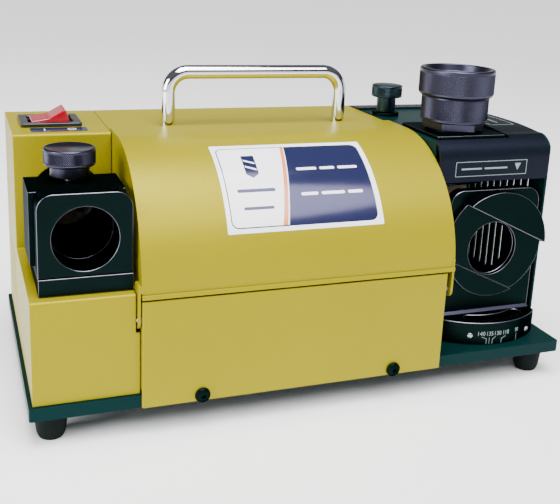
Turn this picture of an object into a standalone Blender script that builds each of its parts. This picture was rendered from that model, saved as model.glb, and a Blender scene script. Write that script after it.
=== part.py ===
"""Bench drill bit sharpener with two grinding ports, a swivelling angle turret and a collet chuck.

Every size below is in millimetres, in the machine's own frame: X to the right, Y to the back and
Z up from the underside of the base plate, whose front left corner is the zero.  place() turns
that frame into metres, standing on its feet and centred on the origin.
"""
import math

import bmesh
import bpy
from mathutils import Vector

MM = 0.001
GAP = 0.3                       # clearance left between pieces that touch
SHEET = 1.5                     # casing sheet thickness

# Base plate and feet
BASE_W = 320.0
BASE_D = 160.7
BASE_T = 7.1
FOOT_H = 16.0
FOOT_R = 9.0
FOOT_INSET = (12.0, 14.0)
DECK = BASE_T + GAP             # lowest level of what stands on the base

# Left casing: an L-shaped box with a ledge in front for the thinning port
CASING_X = (2.1, 56.6)
CASING_FRONT = 1.9
LEDGE_Z = 63.3
RECESS_Y = 87.2
TOP_Z = 129.8
NOTCH_X = 54.4
NOTCH_Z = 42.0

# Rocker switch on top of the left casing
SWITCH_X = (8.0, 43.0)
SWITCH_Y = (106.0, 137.0)
SWITCH_POCKET_X = (12.5, 38.5)
SWITCH_POCKET_Y = (111.0, 132.0)
ROCKER_PIVOT = (25.5, 127.0)
BEZEL_T = 2.0

# Thinning port on the ledge
PORT_R = 16.85                  # both ports take the same 33.7 mm chuck
THIN_BORE = (30.6, 92.3)
PORT_BLOCK_X = (7.0, 54.3)
PORT_BLOCK_Y = (8.5, 27.0)
PORT_BLOCK_TOP = 116.0
PORT_FOOT_TOP = 72.8
GUIDE_X0 = 4.8
GUIDE_Y = (28.0, 60.0)
GUIDE_TOP = 112.4
TUBE_R = 20.0
TUBE_END = 88.9
THIN_KNOB = (28.4, 50.0)
THIN_KNOB_R = 13.9
THIN_NECK_R = 10.4
THIN_KNOB_Z = (115.0, 121.0, 130.3)
SPINDLE_R = 3.0
SPINDLE_Z = (109.6, 123.2)

# Middle: fixed top cover with the handle, tilting hood and front panel
MIDDLE_X = (57.0, 238.9)
COVER_FRONT = 91.5
HOOD_CENTRE = (69.5, 61.0)
HOOD_R = 70.3
HOOD_T = 1.2
HOOD_REAR = 94.3
HOOD_BOTTOM = 60.6
HOOD_LIP = 0.8
HOOD_LIP_TOP = 66.5
HOOD_PIVOT = (3.6, 48.6)
EAR_R = 4.5
EAR_TOP = 68.0
EAR_LEFT_X = (55.0, 56.3)
EAR_RIGHT_X = (237.6, 238.9)
END_WALL_BOTTOM = 61.3
END_WALL_REAR = 91.0
END_WALL_LEFT_X = (57.0, 58.4)
END_WALL_RIGHT_X = (232.6, 233.8)
PIN_R = 2.0
PANEL_X = (57.0, 234.7)
PANEL_Y = (-1.5, -0.3)
PANEL_Z = (0.4, 59.6)
PANEL_FLANGE_Y = 9.0
PANEL_FLANGE_Z = (10.0, 57.0)
SCREW_X = (89.5, 203.3)
SCREW_Z = 3.8
SCREW_HEAD_R = 4.2
SCREW_HEAD_T = 2.3
HANDLE_X = (93.4, 205.5)
HANDLE_Y = 102.5
HANDLE_R = 4.2
HANDLE_TOP = 162.3
HANDLE_BEND = 12.0

# Black right housing
HOUSING_X = (239.2, 315.9)
SIDE_X = (316.2, 317.9)
SIDE_FRONT = 27.2
HOUSING_FRONT = 25.7
WINDOW_TOP = 106.0
CROWN_Y = 72.0
CROWN_Z = 133.6
CROWN_REAR_DROP = 4.0
CROWN_FRONT_DROP = 2.1
SHOULDER = (39.0, 119.0)
SHOULDER_R = 13.3
SLIT_FIRST_Y = 45.0
SLIT_PITCH = 7.4
SLIT_COUNT = 11
SLIT_W = 2.0
SLIT_Z = (28.0, 103.0)
WELL_X1 = 291.0
WELL_Y = (33.0, 140.5)

# Setting device and the collet chuck that stands in it
SEAT_Z = (128.0, 130.2)
SEAT_FLANGE_Z = 105.0
PAD_X = (241.5, 288.5)
PAD_Y = (35.0, 81.0)
PAD_Z = (130.5, 132.4)
CHUCK = (265.0, 58.0)
CHUCK_R = 16.9
SEAT_HOLE_R = 17.3
SLEEVE_R = 20.0
SLEEVE_Z = (101.0, 127.7)
HEX_R = 19.63
HEX_TURN = 40.5
HEX_Z = (133.2, 138.0)
BAND_R = 20.75
BAND_Z = (138.3, 153.4)
RING_R = 23.2
RING_Z = (153.8, 170.5)
STOP = (249.2, 120.0)
STOP_ARM_Z = (96.0, 99.0)

# Angle turret and the cam head it carries
PIVOT = (279.5, 55.0)
TURRET_R = 49.5
TURRET_HALF_W = 33.0
TURRET_TOP = 21.5
SLOT_R = (36.8, 44.8)
SLOT_ANGLES = (249.0, 297.0)
PLATE_X = (248.0, 311.0)
PLATE_Y = (24.0, 31.0)
PLATE_TOP = 101.0
HEAD_CENTRE = (279.5, 67.3)
HEAD_R = 33.7
HEAD_Y = (16.0, 23.7)
HEAD_BORE = (278.0, 64.2)
CHANNEL_SLOPE = 25.3
CHANNEL_HALF_W = 17.75
CHANNEL_FLOOR = 21.0
LOWER_LAND = 19.6

# Motor, shaft and wheels
AXIS = (112.0, 72.0)
MOTOR_R = 42.0
CAN_X = (84.0, 208.0)
BELL_T = 13.0
SHAFT_R = 6.0
SHAFT_X = (14.0, 306.0)
THIN_WHEEL_X = (25.0, 37.0)
THIN_WHEEL_R = 22.5
POINT_WHEEL_X = (262.0, 280.0, 296.0)
POINT_WHEEL_R = (42.0, 32.4)
SADDLE_X = (96.0, 184.0)
SADDLE_T = 14.0
PARTITION_X = (230.6, 232.1)

# Cable gland in the rear wall
GLAND = (100.0, 30.0)
GLAND_R = 9.0
GLAND_BORE_R = 3.8
GLAND_PROUD = 4.2

FRONT_MOST = PANEL_Y[0] - SCREW_HEAD_T
REAR_MOST = BASE_D + GAP + GLAND_PROUD
Y_CENTRE = (FRONT_MOST + REAR_MOST) / 2

BIG, MEDIUM, SMALL = 40, 28, 18     # sides of large, medium and small round pieces


# ---------------------------------------------------------------- materials

def material(name, colour, roughness, metallic=0.0):
    """Principled material with one plain finish."""
    made = bpy.data.materials.new(name)
    made.use_nodes = True
    shader = made.node_tree.nodes["Principled BSDF"]
    shader.inputs["Base Color"].default_value = (*colour, 1.0)
    shader.inputs["Roughness"].default_value = roughness
    shader.inputs["Metallic"].default_value = metallic
    return made


def make_materials():
    """All finishes of the machine, by name."""
    return {
        "yellow": material("yellow_paint", (0.75, 0.62, 0.09), 0.45),
        "black": material("black_paint", (0.02, 0.03, 0.03), 0.55),
        "block": material("blackened_steel", (0.03, 0.04, 0.045), 0.4, 0.6),
        "knurl": material("burnished_steel", (0.12, 0.11, 0.12), 0.35, 0.9),
        "chrome": material("chrome", (0.8, 0.8, 0.8), 0.08, 1.0),
        "steel": material("ground_steel", (0.5, 0.5, 0.5), 0.3, 1.0),
        "rubber": material("foot_rubber", (0.02, 0.03, 0.03), 0.8),
        "switch": material("switch_plastic", (0.02, 0.02, 0.02), 0.3),
        "red": material("red_lens", (0.6, 0.01, 0.02), 0.15),
        "alloy": material("cast_alloy", (0.45, 0.46, 0.47), 0.5, 0.8),
        "copper": material("winding", (0.45, 0.2, 0.08), 0.5, 0.7),
        "grit": material("wheel_grit", (0.3, 0.27, 0.22), 0.9),
    }


# ---------------------------------------------------------------- mesh tools

def place(x, y, z):
    """Machine millimetres to metres in the frame the part is handed over in."""
    return Vector(((x - BASE_W / 2) * MM, (y - Y_CENTRE) * MM, (z + FOOT_H) * MM))


def axis_point(axis, along, u, v):
    """Point from a distance along an axis and the two other coordinates, in X, Y, Z order."""
    if axis == "X":
        return (along, u, v)
    if axis == "Y":
        return (u, along, v)
    return (u, v, along)


def arc(centre, radius, start, end, steps):
    """Points along an arc, angles in degrees, both ends included."""
    points = []
    for i in range(steps + 1):
        angle = math.radians(start + (end - start) * i / steps)
        points.append((centre[0] + radius * math.cos(angle), centre[1] + radius * math.sin(angle)))
    return points


def rectangle(low, high):
    """Corners of a rectangle."""
    return [low, (high[0], low[1]), high, (low[0], high[1])]


def add_prism(bm, outline, axis, start, end):
    """Extrude a closed outline along an axis."""
    lower = [bm.verts.new(place(*axis_point(axis, start, u, v))) for u, v in outline]
    upper = [bm.verts.new(place(*axis_point(axis, end, u, v))) for u, v in outline]
    faces = [bm.faces.new(lower), bm.faces.new(list(reversed(upper)))]
    count = len(outline)
    for i in range(count):
        j = (i + 1) % count
        faces.append(bm.faces.new((lower[i], upper[i], upper[j], lower[j])))
    return faces


def prism(outline, axis, start, end):
    """Mesh of one extruded outline."""
    bm = bmesh.new()
    add_prism(bm, outline, axis, start, end)
    return bm


def box(low, high):
    """Mesh of a plain box."""
    return prism(rectangle(low[:2], high[:2]), "Z", low[2], high[2])


def turned(profile, axis, centre, sides):
    """Revolve a profile of (radius, distance along the axis).

    A profile that starts and ends at radius 0 gives a solid bar; any other is closed to a ring.
    """
    bm = bmesh.new()
    rings = []
    for radius, along in profile:
        if radius == 0:
            rings.append([bm.verts.new(place(*axis_point(axis, along, *centre)))])
            continue
        points = arc(centre, radius, 0, 360.0 * (sides - 1) / sides, sides - 1)
        rings.append([bm.verts.new(place(*axis_point(axis, along, u, v))) for u, v in points])
    if len(rings[0]) > 1:
        rings.append(rings[0])
    for near, far in zip(rings, rings[1:]):
        for i in range(sides):
            j = (i + 1) % sides
            corners = [near[i % len(near)], near[j % len(near)], far[j % len(far)], far[i % len(far)]]
            bm.faces.new(list(dict.fromkeys(corners)))
    return bm


def rod(axis, centre, radius, start, end, sides, chamfer=0.0):
    """Solid bar, with an optional chamfer at both ends."""
    profile = [(0, start), (radius, start), (radius, end), (0, end)]
    if chamfer:
        profile = [
            (0, start), (radius - chamfer, start), (radius, start + chamfer),
            (radius, end - chamfer), (radius - chamfer, end), (0, end),
        ]
    return turned(profile, axis, centre, sides)


def ring(axis, centre, inner, outer, start, end, sides):
    """Plain tube."""
    profile = [(inner, start), (outer, start), (outer, end), (inner, end)]
    return turned(profile, axis, centre, sides)


def add_object(name, bm, finish, origin=None):
    """Turn a mesh into a named object whose origin lies at a machine point."""
    bmesh.ops.recalc_face_normals(bm, faces=bm.faces[:])
    if origin is None:
        anchor = sum((v.co for v in bm.verts), Vector()) / len(bm.verts)
    else:
        anchor = place(*origin)
    bmesh.ops.translate(bm, verts=bm.verts[:], vec=-anchor)
    mesh = bpy.data.meshes.new(name)
    bm.to_mesh(mesh)
    bm.free()
    if finish is not None:
        mesh.materials.append(finish)
    mesh.shade_smooth()
    mesh.set_sharp_from_angle(angle=math.radians(32))
    made = bpy.data.objects.new(name, mesh)
    made.location = anchor
    bpy.context.scene.collection.objects.link(made)
    return made


def combine(target, bm, operation, label):
    """Cut a tool mesh from a piece, or join it to the piece, with a Boolean."""
    tool = add_object(f"{target.name}_{label}", bm, None)
    tool.hide_render = True
    tool.display_type = "WIRE"
    modifier = target.modifiers.new(label, "BOOLEAN")
    modifier.operation = operation
    modifier.solver = "EXACT"
    modifier.object = tool
    return tool


def cut(target, bm, label):
    """Take a tool mesh away from a piece."""
    return combine(target, bm, "DIFFERENCE", label)


def join(target, bm, label):
    """Add a tool mesh to a piece."""
    return combine(target, bm, "UNION", label)


def soften(target, width, segments=1):
    """Break a piece's sharp edges."""
    modifier = target.modifiers.new("edges", "BEVEL")
    modifier.width = width * MM
    modifier.segments = segments
    modifier.limit_method = "ANGLE"
    modifier.angle_limit = math.radians(50)
    return modifier


# ---------------------------------------------------------------- base

def build_base(mats):
    """Base plate with its tapped holes, and four feet."""
    plate = add_object("base_plate", box((0, 0, 0), (BASE_W, BASE_D, BASE_T)), mats["black"])
    soften(plate, 0.8)
    cut(plate, rod("Z", PIVOT, 4.0 + GAP, -1, BASE_T + 1, SMALL), "pivot_hole")
    cut(plate, rod("Z", clamp_centre(), 3.2 + GAP, -1, BASE_T + 1, SMALL), "clamp_hole")
    for i, x in enumerate(SCREW_X):
        cut(plate, rod("Y", (x, SCREW_Z), 1.7 + GAP, -2, 9, 12), f"screw_hole_{i}")
    for side, x in (("left", FOOT_INSET[0]), ("right", BASE_W - FOOT_INSET[0])):
        for end, y in (("front", FOOT_INSET[1]), ("rear", BASE_D - FOOT_INSET[1])):
            build_foot(f"foot_{end}_{side}", (x, y), mats)


def build_foot(name, centre, mats):
    """Tapered rubber foot with a rounded tread and a recess for its screw."""
    tread = -FOOT_H
    profile = [
        (3.4, -10.5), (3.4, tread), (6.0, tread), (7.0, tread + 0.7), (7.6, tread + 2.2),
        (FOOT_R, -GAP), (2.2, -GAP), (2.2, -10.5),
    ]
    add_object(name, turned(profile, "Z", centre, 24), mats["rubber"])


# ---------------------------------------------------------------- left casing and switch

def casing_outline(inset, floor):
    """Side view of the L-shaped casing, drawn in by the sheet thickness."""
    return [
        (CASING_FRONT + inset, floor), (BASE_D - inset, floor), (BASE_D - inset, TOP_Z - inset),
        (RECESS_Y + inset, TOP_Z - inset), (RECESS_Y + inset, LEDGE_Z - inset),
        (CASING_FRONT + inset, LEDGE_Z - inset),
    ]


def build_left_casing(mats):
    """Folded casing, open below and towards the motor."""
    left, right = CASING_X
    shell = prism(casing_outline(0, DECK), "X", left, right)
    casing = add_object("left_casing", shell, mats["yellow"])
    soften(casing, 0.6)
    cut(casing, prism(casing_outline(SHEET, 0), "X", left + SHEET, right + 5), "inside")
    tube_hole = rod("Y", THIN_BORE, TUBE_R + GAP, RECESS_Y - 3, RECESS_Y + 4, MEDIUM)
    cut(casing, tube_hole, "tube_hole")
    notch = box((NOTCH_X, -5, NOTCH_Z), (right + 5, 10, LEDGE_Z + 0.5))
    cut(casing, notch, "ear_notch")
    body = box((11.0, 108.7, TOP_Z - 5), (40.0, 134.3, TOP_Z + 5))
    cut(casing, body, "switch_hole")
    slits = bmesh.new()
    for i in range(5):
        y = 100.0 + 9.0 * i
        add_prism(slits, rectangle((y, 24.0), (y + 2.4, 58.0)), "X", left - 2, left + 3)
    cut(casing, slits, "slits")


def build_switch(mats):
    """Rocker switch: square bezel and body, and the lit rocker in it."""
    frame = add_object(
        "switch_frame",
        box((SWITCH_X[0], SWITCH_Y[0], TOP_Z + GAP), (SWITCH_X[1], SWITCH_Y[1], TOP_Z + GAP + BEZEL_T)),
        mats["switch"],
    )
    join(frame, box((11.3, 109.0, 108.0), (39.7, 134.0, TOP_Z + 1)), "body")
    pocket_low = (SWITCH_POCKET_X[0], SWITCH_POCKET_Y[0], 112.0)
    pocket_high = (SWITCH_POCKET_X[1], SWITCH_POCKET_Y[1], TOP_Z + 6)
    cut(frame, box(pocket_low, pocket_high), "pocket")
    outline = [
        (15.5, 122.0), (35.5, 122.0), (36.6, 131.5), (34.3, 138.8), (33.0, 138.6),
        (24.6, 133.8), (14.4, 132.4),
    ]
    body = prism(outline, "Y", SWITCH_POCKET_Y[0] + 0.5, SWITCH_POCKET_Y[1] - 0.5)
    middle = sum(SWITCH_POCKET_Y) / 2
    rocker = add_object("switch_rocker", body, mats["red"], (ROCKER_PIVOT[0], middle, ROCKER_PIVOT[1]))
    soften(rocker, 0.4)


# ---------------------------------------------------------------- thinning port

def port_outline(low, high, radius):
    """Block front view: square below, rounded top corners."""
    left, bottom = low
    right, top = high
    points = [(left, bottom), (right, bottom)]
    points += arc((right - radius, top - radius), radius, 0, 90, 6)
    points += arc((left + radius, top - radius), radius, 90, 180, 6)
    return points


def build_thinning_port(mats):
    """Port block, guide block and guide tube around one bore, with the depth knob on top."""
    left, right = PORT_BLOCK_X
    foot = box((left, PORT_BLOCK_Y[0] - 1.0, LEDGE_Z + GAP), (right, GUIDE_Y[1], PORT_FOOT_TOP))
    soften(add_object("port_foot", foot, mats["block"]), 0.5)

    bottom = PORT_FOOT_TOP + GAP
    outline = port_outline((left, bottom), (right, PORT_BLOCK_TOP), 8.5)
    block = add_object("port_block", prism(outline, "Y", *PORT_BLOCK_Y), mats["block"])
    soften(block, 0.7)
    cut(block, rod("Y", THIN_BORE, PORT_R, 0, 35, BIG), "bore")

    guide_box = box((GUIDE_X0, GUIDE_Y[0], bottom), (right, GUIDE_Y[1], GUIDE_TOP))
    guide = add_object("guide_block", guide_box, mats["block"])
    soften(guide, 0.7)
    cut(guide, rod("Y", THIN_BORE, PORT_R, 20, 70, BIG), "bore")
    cut(guide, rod("Z", THIN_KNOB, SPINDLE_R + GAP, 100, 120, SMALL), "spindle_hole")

    tube = ring("Y", THIN_BORE, PORT_R, TUBE_R - 0.2, GUIDE_Y[1] + GAP, TUBE_END, BIG)
    tube_object = add_object("guide_tube", tube, mats["block"])
    flat = box((0, GUIDE_Y[1] - 1, 60), (60, TUBE_END + 1, PORT_FOOT_TOP + 0.5))
    cut(tube_object, flat, "flat")

    spindle = rod("Z", THIN_KNOB, SPINDLE_R, *SPINDLE_Z, SMALL, 0.4)
    add_object("thinning_spindle", spindle, mats["steel"], (*THIN_KNOB, SPINDLE_Z[0]))
    low, shoulder, top = THIN_KNOB_Z
    inner = SPINDLE_R + GAP
    profile = [
        (inner, low), (THIN_NECK_R, low), (THIN_NECK_R, shoulder), (THIN_KNOB_R - 0.8, shoulder),
        (THIN_KNOB_R, shoulder + 0.8), (THIN_KNOB_R, top - 0.8), (THIN_KNOB_R - 0.8, top), (0, top),
    ]
    knob = turned([(0, SPINDLE_Z[1] + GAP), (inner, SPINDLE_Z[1] + GAP), *profile], "Z", THIN_KNOB, MEDIUM)
    add_object("thinning_knob", knob, mats["knurl"], (*THIN_KNOB, low))


# ---------------------------------------------------------------- middle section

def build_top_cover(mats):
    """Fixed sheet over the back of the motor, with the rear wall."""
    inner = TOP_Z - SHEET
    rear = BASE_D - SHEET
    outline = [
        (COVER_FRONT, TOP_Z), (BASE_D, TOP_Z), (BASE_D, DECK), (rear, DECK), (rear, inner),
        (COVER_FRONT + SHEET, inner), (COVER_FRONT + SHEET, 120.0), (COVER_FRONT, 120.0),
    ]
    cover = add_object("top_cover", prism(outline, "X", *MIDDLE_X), mats["yellow"])
    for i, x in enumerate(HANDLE_X):
        cut(cover, rod("Z", (x, HANDLE_Y), HANDLE_R + GAP, 120, 140, 20), f"leg_hole_{i}")
    cut(cover, rod("Y", GLAND, 6.7 + GAP, BASE_D - 5, BASE_D + 3, SMALL), "gland_hole")


def build_handle(mats):
    """Bent round bar handle and the two nuts that hold it under the cover."""
    left, right = HANDLE_X
    foot_z = TOP_Z - 10.0
    route = [(left, foot_z)]
    route += arc((left + HANDLE_BEND, HANDLE_TOP - HANDLE_BEND), HANDLE_BEND, 180, 90, 7)
    route += arc((right - HANDLE_BEND, HANDLE_TOP - HANDLE_BEND), HANDLE_BEND, 90, 0, 7)
    route.append((right, foot_z))
    bm = bmesh.new()
    sections = []
    for i, (x, z) in enumerate(route):
        before = route[max(i - 1, 0)]
        after = route[min(i + 1, len(route) - 1)]
        heading = Vector((after[0] - before[0], after[1] - before[1])).normalized()
        section = []
        for k in range(16):
            angle = 2 * math.pi * k / 16
            side = HANDLE_R * math.cos(angle)
            depth = HANDLE_R * math.sin(angle)
            point = (x - heading.y * side, HANDLE_Y + depth, z + heading.x * side)
            section.append(bm.verts.new(place(*point)))
        sections.append(section)
    bm.faces.new(sections[0])
    bm.faces.new(list(reversed(sections[-1])))
    for near, far in zip(sections, sections[1:]):
        for k in range(16):
            n = (k + 1) % 16
            bm.faces.new((near[k], near[n], far[n], far[k]))
    add_object("carry_handle", bm, mats["chrome"])
    for name, x in (("handle_nut_left", left), ("handle_nut_right", right)):
        bore = rod("Z", (x, HANDLE_Y), HANDLE_R + GAP, foot_z - 2, TOP_Z + 2, 20)
        solid = prism(arc((x, HANDLE_Y), 7.5, 0, 300, 5), "Z", foot_z + 1.5, TOP_Z - SHEET - GAP)
        cut(add_object(name, solid, mats["steel"]), bore, "thread")


def hood_outline():
    """Side view of the hood sheet: quarter round, flat at the back, with a lip along the front."""
    top = HOOD_CENTRE[1] + HOOD_R
    front = HOOD_CENTRE[0] - HOOD_R
    outer = [(HOOD_REAR, top)] + arc(HOOD_CENTRE, HOOD_R, 90, 175.5, 22)
    outer += [(front - HOOD_LIP, HOOD_LIP_TOP - HOOD_LIP), (front - HOOD_LIP, HOOD_BOTTOM)]
    inner = [(front + HOOD_T, HOOD_BOTTOM)]
    inner += arc(HOOD_CENTRE, HOOD_R - HOOD_T, 180, 90, 22)
    inner.append((HOOD_REAR, top - HOOD_T))
    return outer + inner


def end_wall_outline():
    """Side view of a hood end wall, lapping the sheet by half its thickness."""
    radius = HOOD_R - HOOD_T / 2
    top = HOOD_CENTRE[1] + radius
    points = arc(HOOD_CENTRE, radius, 90, 179.5, 22)
    return [(END_WALL_REAR, top)] + points + [(points[-1][0], END_WALL_BOTTOM), (END_WALL_REAR, END_WALL_BOTTOM)]


def ear_outline():
    """Side view of a pivot ear: a strip with a round end."""
    y = HOOD_PIVOT[0]
    return arc(HOOD_PIVOT, EAR_R, 180, 360, 10) + [(y + EAR_R, EAR_TOP), (y - EAR_R, EAR_TOP)]


def build_hood(mats):
    """Hood that tilts forward on two ears, and the pins it turns on."""
    pivot = (MIDDLE_X[0], *HOOD_PIVOT)
    hood = add_object("arc_hood", prism(hood_outline(), "X", *MIDDLE_X), mats["yellow"], pivot)
    join(hood, prism(end_wall_outline(), "X", *END_WALL_LEFT_X), "end_left")
    join(hood, prism(end_wall_outline(), "X", *END_WALL_RIGHT_X), "end_right")
    y = HOOD_PIVOT[0]
    bridge = box((EAR_LEFT_X[0], y - EAR_R, 64.2), (END_WALL_LEFT_X[1] - 0.2, y + EAR_R, EAR_TOP))
    join(hood, prism(ear_outline(), "X", *EAR_LEFT_X), "ear_left")
    join(hood, bridge, "bridge")
    join(hood, prism(ear_outline(), "X", *EAR_RIGHT_X), "ear_right")
    cut(hood, rod("X", HOOD_PIVOT, PIN_R + GAP, 50, 56.8, SMALL), "hole_left")
    cut(hood, rod("X", HOOD_PIVOT, PIN_R + GAP, 237, 245, SMALL), "hole_right")
    left = rod("X", HOOD_PIVOT, PIN_R, 54.7, 60.0, SMALL, 0.3)
    right = rod("X", HOOD_PIVOT, PIN_R, 232.3, 239.0, SMALL, 0.3)
    add_object("hood_pin_left", left, mats["steel"])
    add_object("hood_pin_right", right, mats["steel"])


def build_front_panel(mats):
    """Front panel with folded ends that carry the hood pins, and its two screws."""
    left, right = PANEL_X
    front, back = PANEL_Y
    outline = [
        (left, front), (right, front), (right, PANEL_FLANGE_Y), (right - HOOD_T, PANEL_FLANGE_Y),
        (right - HOOD_T, back), (left + HOOD_T, back), (left + HOOD_T, PANEL_FLANGE_Y),
        (left, PANEL_FLANGE_Y),
    ]
    panel = add_object("front_panel", prism(outline, "Z", *PANEL_Z), mats["yellow"])
    low, high = PANEL_FLANGE_Z
    cut(panel, box((left - 5, back + 0.01, -5), (right + 5, 20, low)), "below_flange")
    cut(panel, box((left - 5, back + 0.01, high), (right + 5, 20, 70)), "above_flange")
    cut(panel, rod("X", HOOD_PIVOT, PIN_R + GAP, left - 2, left + 4, SMALL), "pin_left")
    cut(panel, rod("X", HOOD_PIVOT, PIN_R + GAP, right - 4, right + 2, SMALL), "pin_right")
    for i, (name, x) in enumerate(zip(("panel_screw_left", "panel_screw_right"), SCREW_X)):
        cut(panel, rod("Y", (x, SCREW_Z), 1.7 + GAP, -5, 3, 12), f"screw_{i}")
        seat = front - GAP
        profile = [
            (0, seat - SCREW_HEAD_T + GAP), (2.2, seat - SCREW_HEAD_T + GAP), (3.6, seat - 1.2),
            (SCREW_HEAD_R, seat - 0.4), (SCREW_HEAD_R, seat), (1.7, seat), (1.7, 7.5), (0, 7.5),
        ]
        screw = add_object(name, turned(profile, "Y", (x, SCREW_Z), 20), mats["block"])
        socket = prism(arc((x, SCREW_Z), 1.4, 0, 300, 5), "Y", seat - 5, seat - 0.9)
        cut(screw, socket, "socket")


def build_partition(mats):
    """Sheet wall between the motor and the grinding chamber."""
    low = DECK
    outline = [(4.0, low), (158.9, low), (158.9, 127.9), (94.0, 127.9), (94.0, 119.0), (88.0, 119.0)]
    outline += arc(HOOD_CENTRE, 65.5, 75, 180, 14)
    wall = add_object("partition", prism(outline, "X", *PARTITION_X), mats["black"])
    cut(wall, rod("X", AXIS, 10.0, 225, 240, MEDIUM), "shaft_hole")


# ---------------------------------------------------------------- right housing

def crown(inset):
    """Top and front edge of the black housing, from the rear corner to the shoulder."""
    points = []
    rear = BASE_D - inset
    for i in range(9):
        y = rear + (CROWN_Y - rear) * i / 8
        points.append((y, CROWN_Z - inset - CROWN_REAR_DROP * ((y - CROWN_Y) / (BASE_D - CROWN_Y)) ** 2))
    for i in range(1, 5):
        y = CROWN_Y + (SHOULDER[0] - CROWN_Y) * i / 5
        points.append((y, CROWN_Z - inset - CROWN_FRONT_DROP * ((y - CROWN_Y) / 36.0) ** 2))
    points += arc(SHOULDER, SHOULDER_R - inset, 100, 180, 8)
    return points


def build_right_housing(mats):
    """Black housing: rear wall, crowned top with a well, and a band above the window."""
    inner = crown(SHEET)
    outline = [(BASE_D - SHEET, DECK), (BASE_D, DECK)] + crown(0)
    outline += [(HOUSING_FRONT, WINDOW_TOP), (HOUSING_FRONT + SHEET, WINDOW_TOP)]
    outline += list(reversed(inner))
    housing = add_object("right_housing", prism(outline, "X", *HOUSING_X), mats["black"])
    well = box((HOUSING_X[0] - 5, WELL_Y[0], 120), (WELL_X1, WELL_Y[1], 140))
    cut(housing, well, "well")

    side_outline = [(SIDE_FRONT, DECK), (BASE_D, DECK)]
    side_outline += [point for point in crown(0) if point[0] > SIDE_FRONT]
    side_outline.append((SIDE_FRONT, SHOULDER[1] + 5.0))
    side = add_object("side_cover", prism(side_outline, "X", *SIDE_X), mats["black"])
    slits = bmesh.new()
    for i in range(SLIT_COUNT):
        y = SLIT_FIRST_Y + SLIT_PITCH * i
        outline = rectangle((y - SLIT_W / 2, SLIT_Z[0]), (y + SLIT_W / 2, SLIT_Z[1]))
        add_prism(slits, outline, "X", SIDE_X[0] - 2, SIDE_X[1] + 2)
    cut(side, slits, "slits")


def build_setting_device(mats):
    """Seat for the chuck, sleeve below it, and the adjustable drill stop."""
    left = HOUSING_X[0] + 0.4
    right = WELL_X1 - 0.5
    low, top = SEAT_Z
    outline = [
        (left, SEAT_FLANGE_Z), (left + SHEET, SEAT_FLANGE_Z), (left + SHEET, low), (right, low),
        (right, top), (left, top),
    ]
    plate = prism(outline, "Y", WELL_Y[0] + 0.4, WELL_Y[1] - 0.5)
    seat = add_object("seat_plate", plate, mats["black"])
    cut(seat, rod("Z", CHUCK, SEAT_HOLE_R, 120, 140, BIG), "seat_hole")
    cut(seat, rod("Z", STOP, 2.8, 120, 140, SMALL), "stop_hole")

    pad_solid = box((PAD_X[0], PAD_Y[0], PAD_Z[0]), (PAD_X[1], PAD_Y[1], PAD_Z[1]))
    pad = add_object("seat_pad", pad_solid, mats["block"])
    soften(pad, 0.3)
    cut(pad, rod("Z", CHUCK, SEAT_HOLE_R, 120, 140, BIG), "seat_hole")
    add_object("seat_sleeve", ring("Z", CHUCK, SEAT_HOLE_R, SLEEVE_R, *SLEEVE_Z, BIG), mats["block"])

    arm_outline = [
        (244.0, 126.0), (254.4, 126.0), (256.4, 70.0), (270.0, 63.0), (270.0, 53.0),
        (260.0, 53.0), (246.6, 66.0),
    ]
    arm = add_object("stop_arm", prism(arm_outline, "Z", *STOP_ARM_Z), mats["steel"], (*STOP, STOP_ARM_Z[0]))
    cut(arm, rod("Z", STOP, 2.8, 90, 105, SMALL), "thread")
    collar = ring("Z", STOP, 2.8, 9.0, SEAT_Z[1] + GAP, SEAT_Z[1] + GAP + 1.8, 24)
    add_object("stop_collar", collar, mats["block"])
    knob = [
        (0, 92.0), (2.5, 92.0), (2.5, 132.7), (6.4, 132.7), (6.4, 142.8), (9.8, 142.8), (10.5, 143.5),
        (10.5, 150.1), (9.8, 150.8), (0, 150.8),
    ]
    add_object("stop_knob", turned(knob, "Z", STOP, 24), mats["knurl"], (*STOP, 132.7))


def build_chuck(mats):
    """Collet chuck standing nose down in the seat, with its knurled closing ring."""
    origin = (*CHUCK, HEX_Z[0])
    body = [
        (8.0, 112.5), (12.6, 112.5), (12.6, BAND_Z[0]), (BAND_R - 0.5, BAND_Z[0]),
        (BAND_R, BAND_Z[0] + 0.5), (BAND_R, BAND_Z[1]), (12.0, BAND_Z[1]), (12.0, 165.0), (8.0, 165.0),
    ]
    add_object("chuck_body", turned(body, "Z", CHUCK, BIG), mats["knurl"], origin)
    hexagon = prism(arc(CHUCK, HEX_R, HEX_TURN, HEX_TURN + 300, 5), "Z", *HEX_Z)
    collar = add_object("chuck_hex", hexagon, mats["knurl"], origin)
    cut(collar, rod("Z", CHUCK, 12.6 + GAP, 125, 145, MEDIUM), "bore")
    nut = [
        (8.0, 104.0), (CHUCK_R - 2.5, 104.0), (CHUCK_R, 107.5), (CHUCK_R, HEX_Z[0] - GAP),
        (12.9, HEX_Z[0] - GAP), (12.9, 111.5), (8.0, 111.5),
    ]
    add_object("chuck_nut", turned(nut, "Z", CHUCK, BIG), mats["block"], origin)
    collet = [(4.5, 104.6), (6.4, 104.6), (7.7, 108.0), (7.7, 140.0), (4.5, 140.0)]
    add_object("collet", turned(collet, "Z", CHUCK, 24), mats["steel"], origin)
    low, top = RING_Z
    cap = [
        (12.3, low), (RING_R - 1.0, low), (RING_R, low + 1.0), (RING_R, top - 0.9), (RING_R - 0.8, top),
        (RING_R - 3.0, top), (RING_R - 4.0, top - 4.5), (12.3, top - 4.5),
    ]
    add_object("chuck_ring", turned(cap, "Z", CHUCK, BIG), mats["knurl"], (*CHUCK, low))


# ---------------------------------------------------------------- turret

def clamp_centre():
    """Place of the clamp screw, in the middle of the turret's slot radius."""
    return (PIVOT[0], PIVOT[1] - sum(SLOT_R) / 2)


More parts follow.
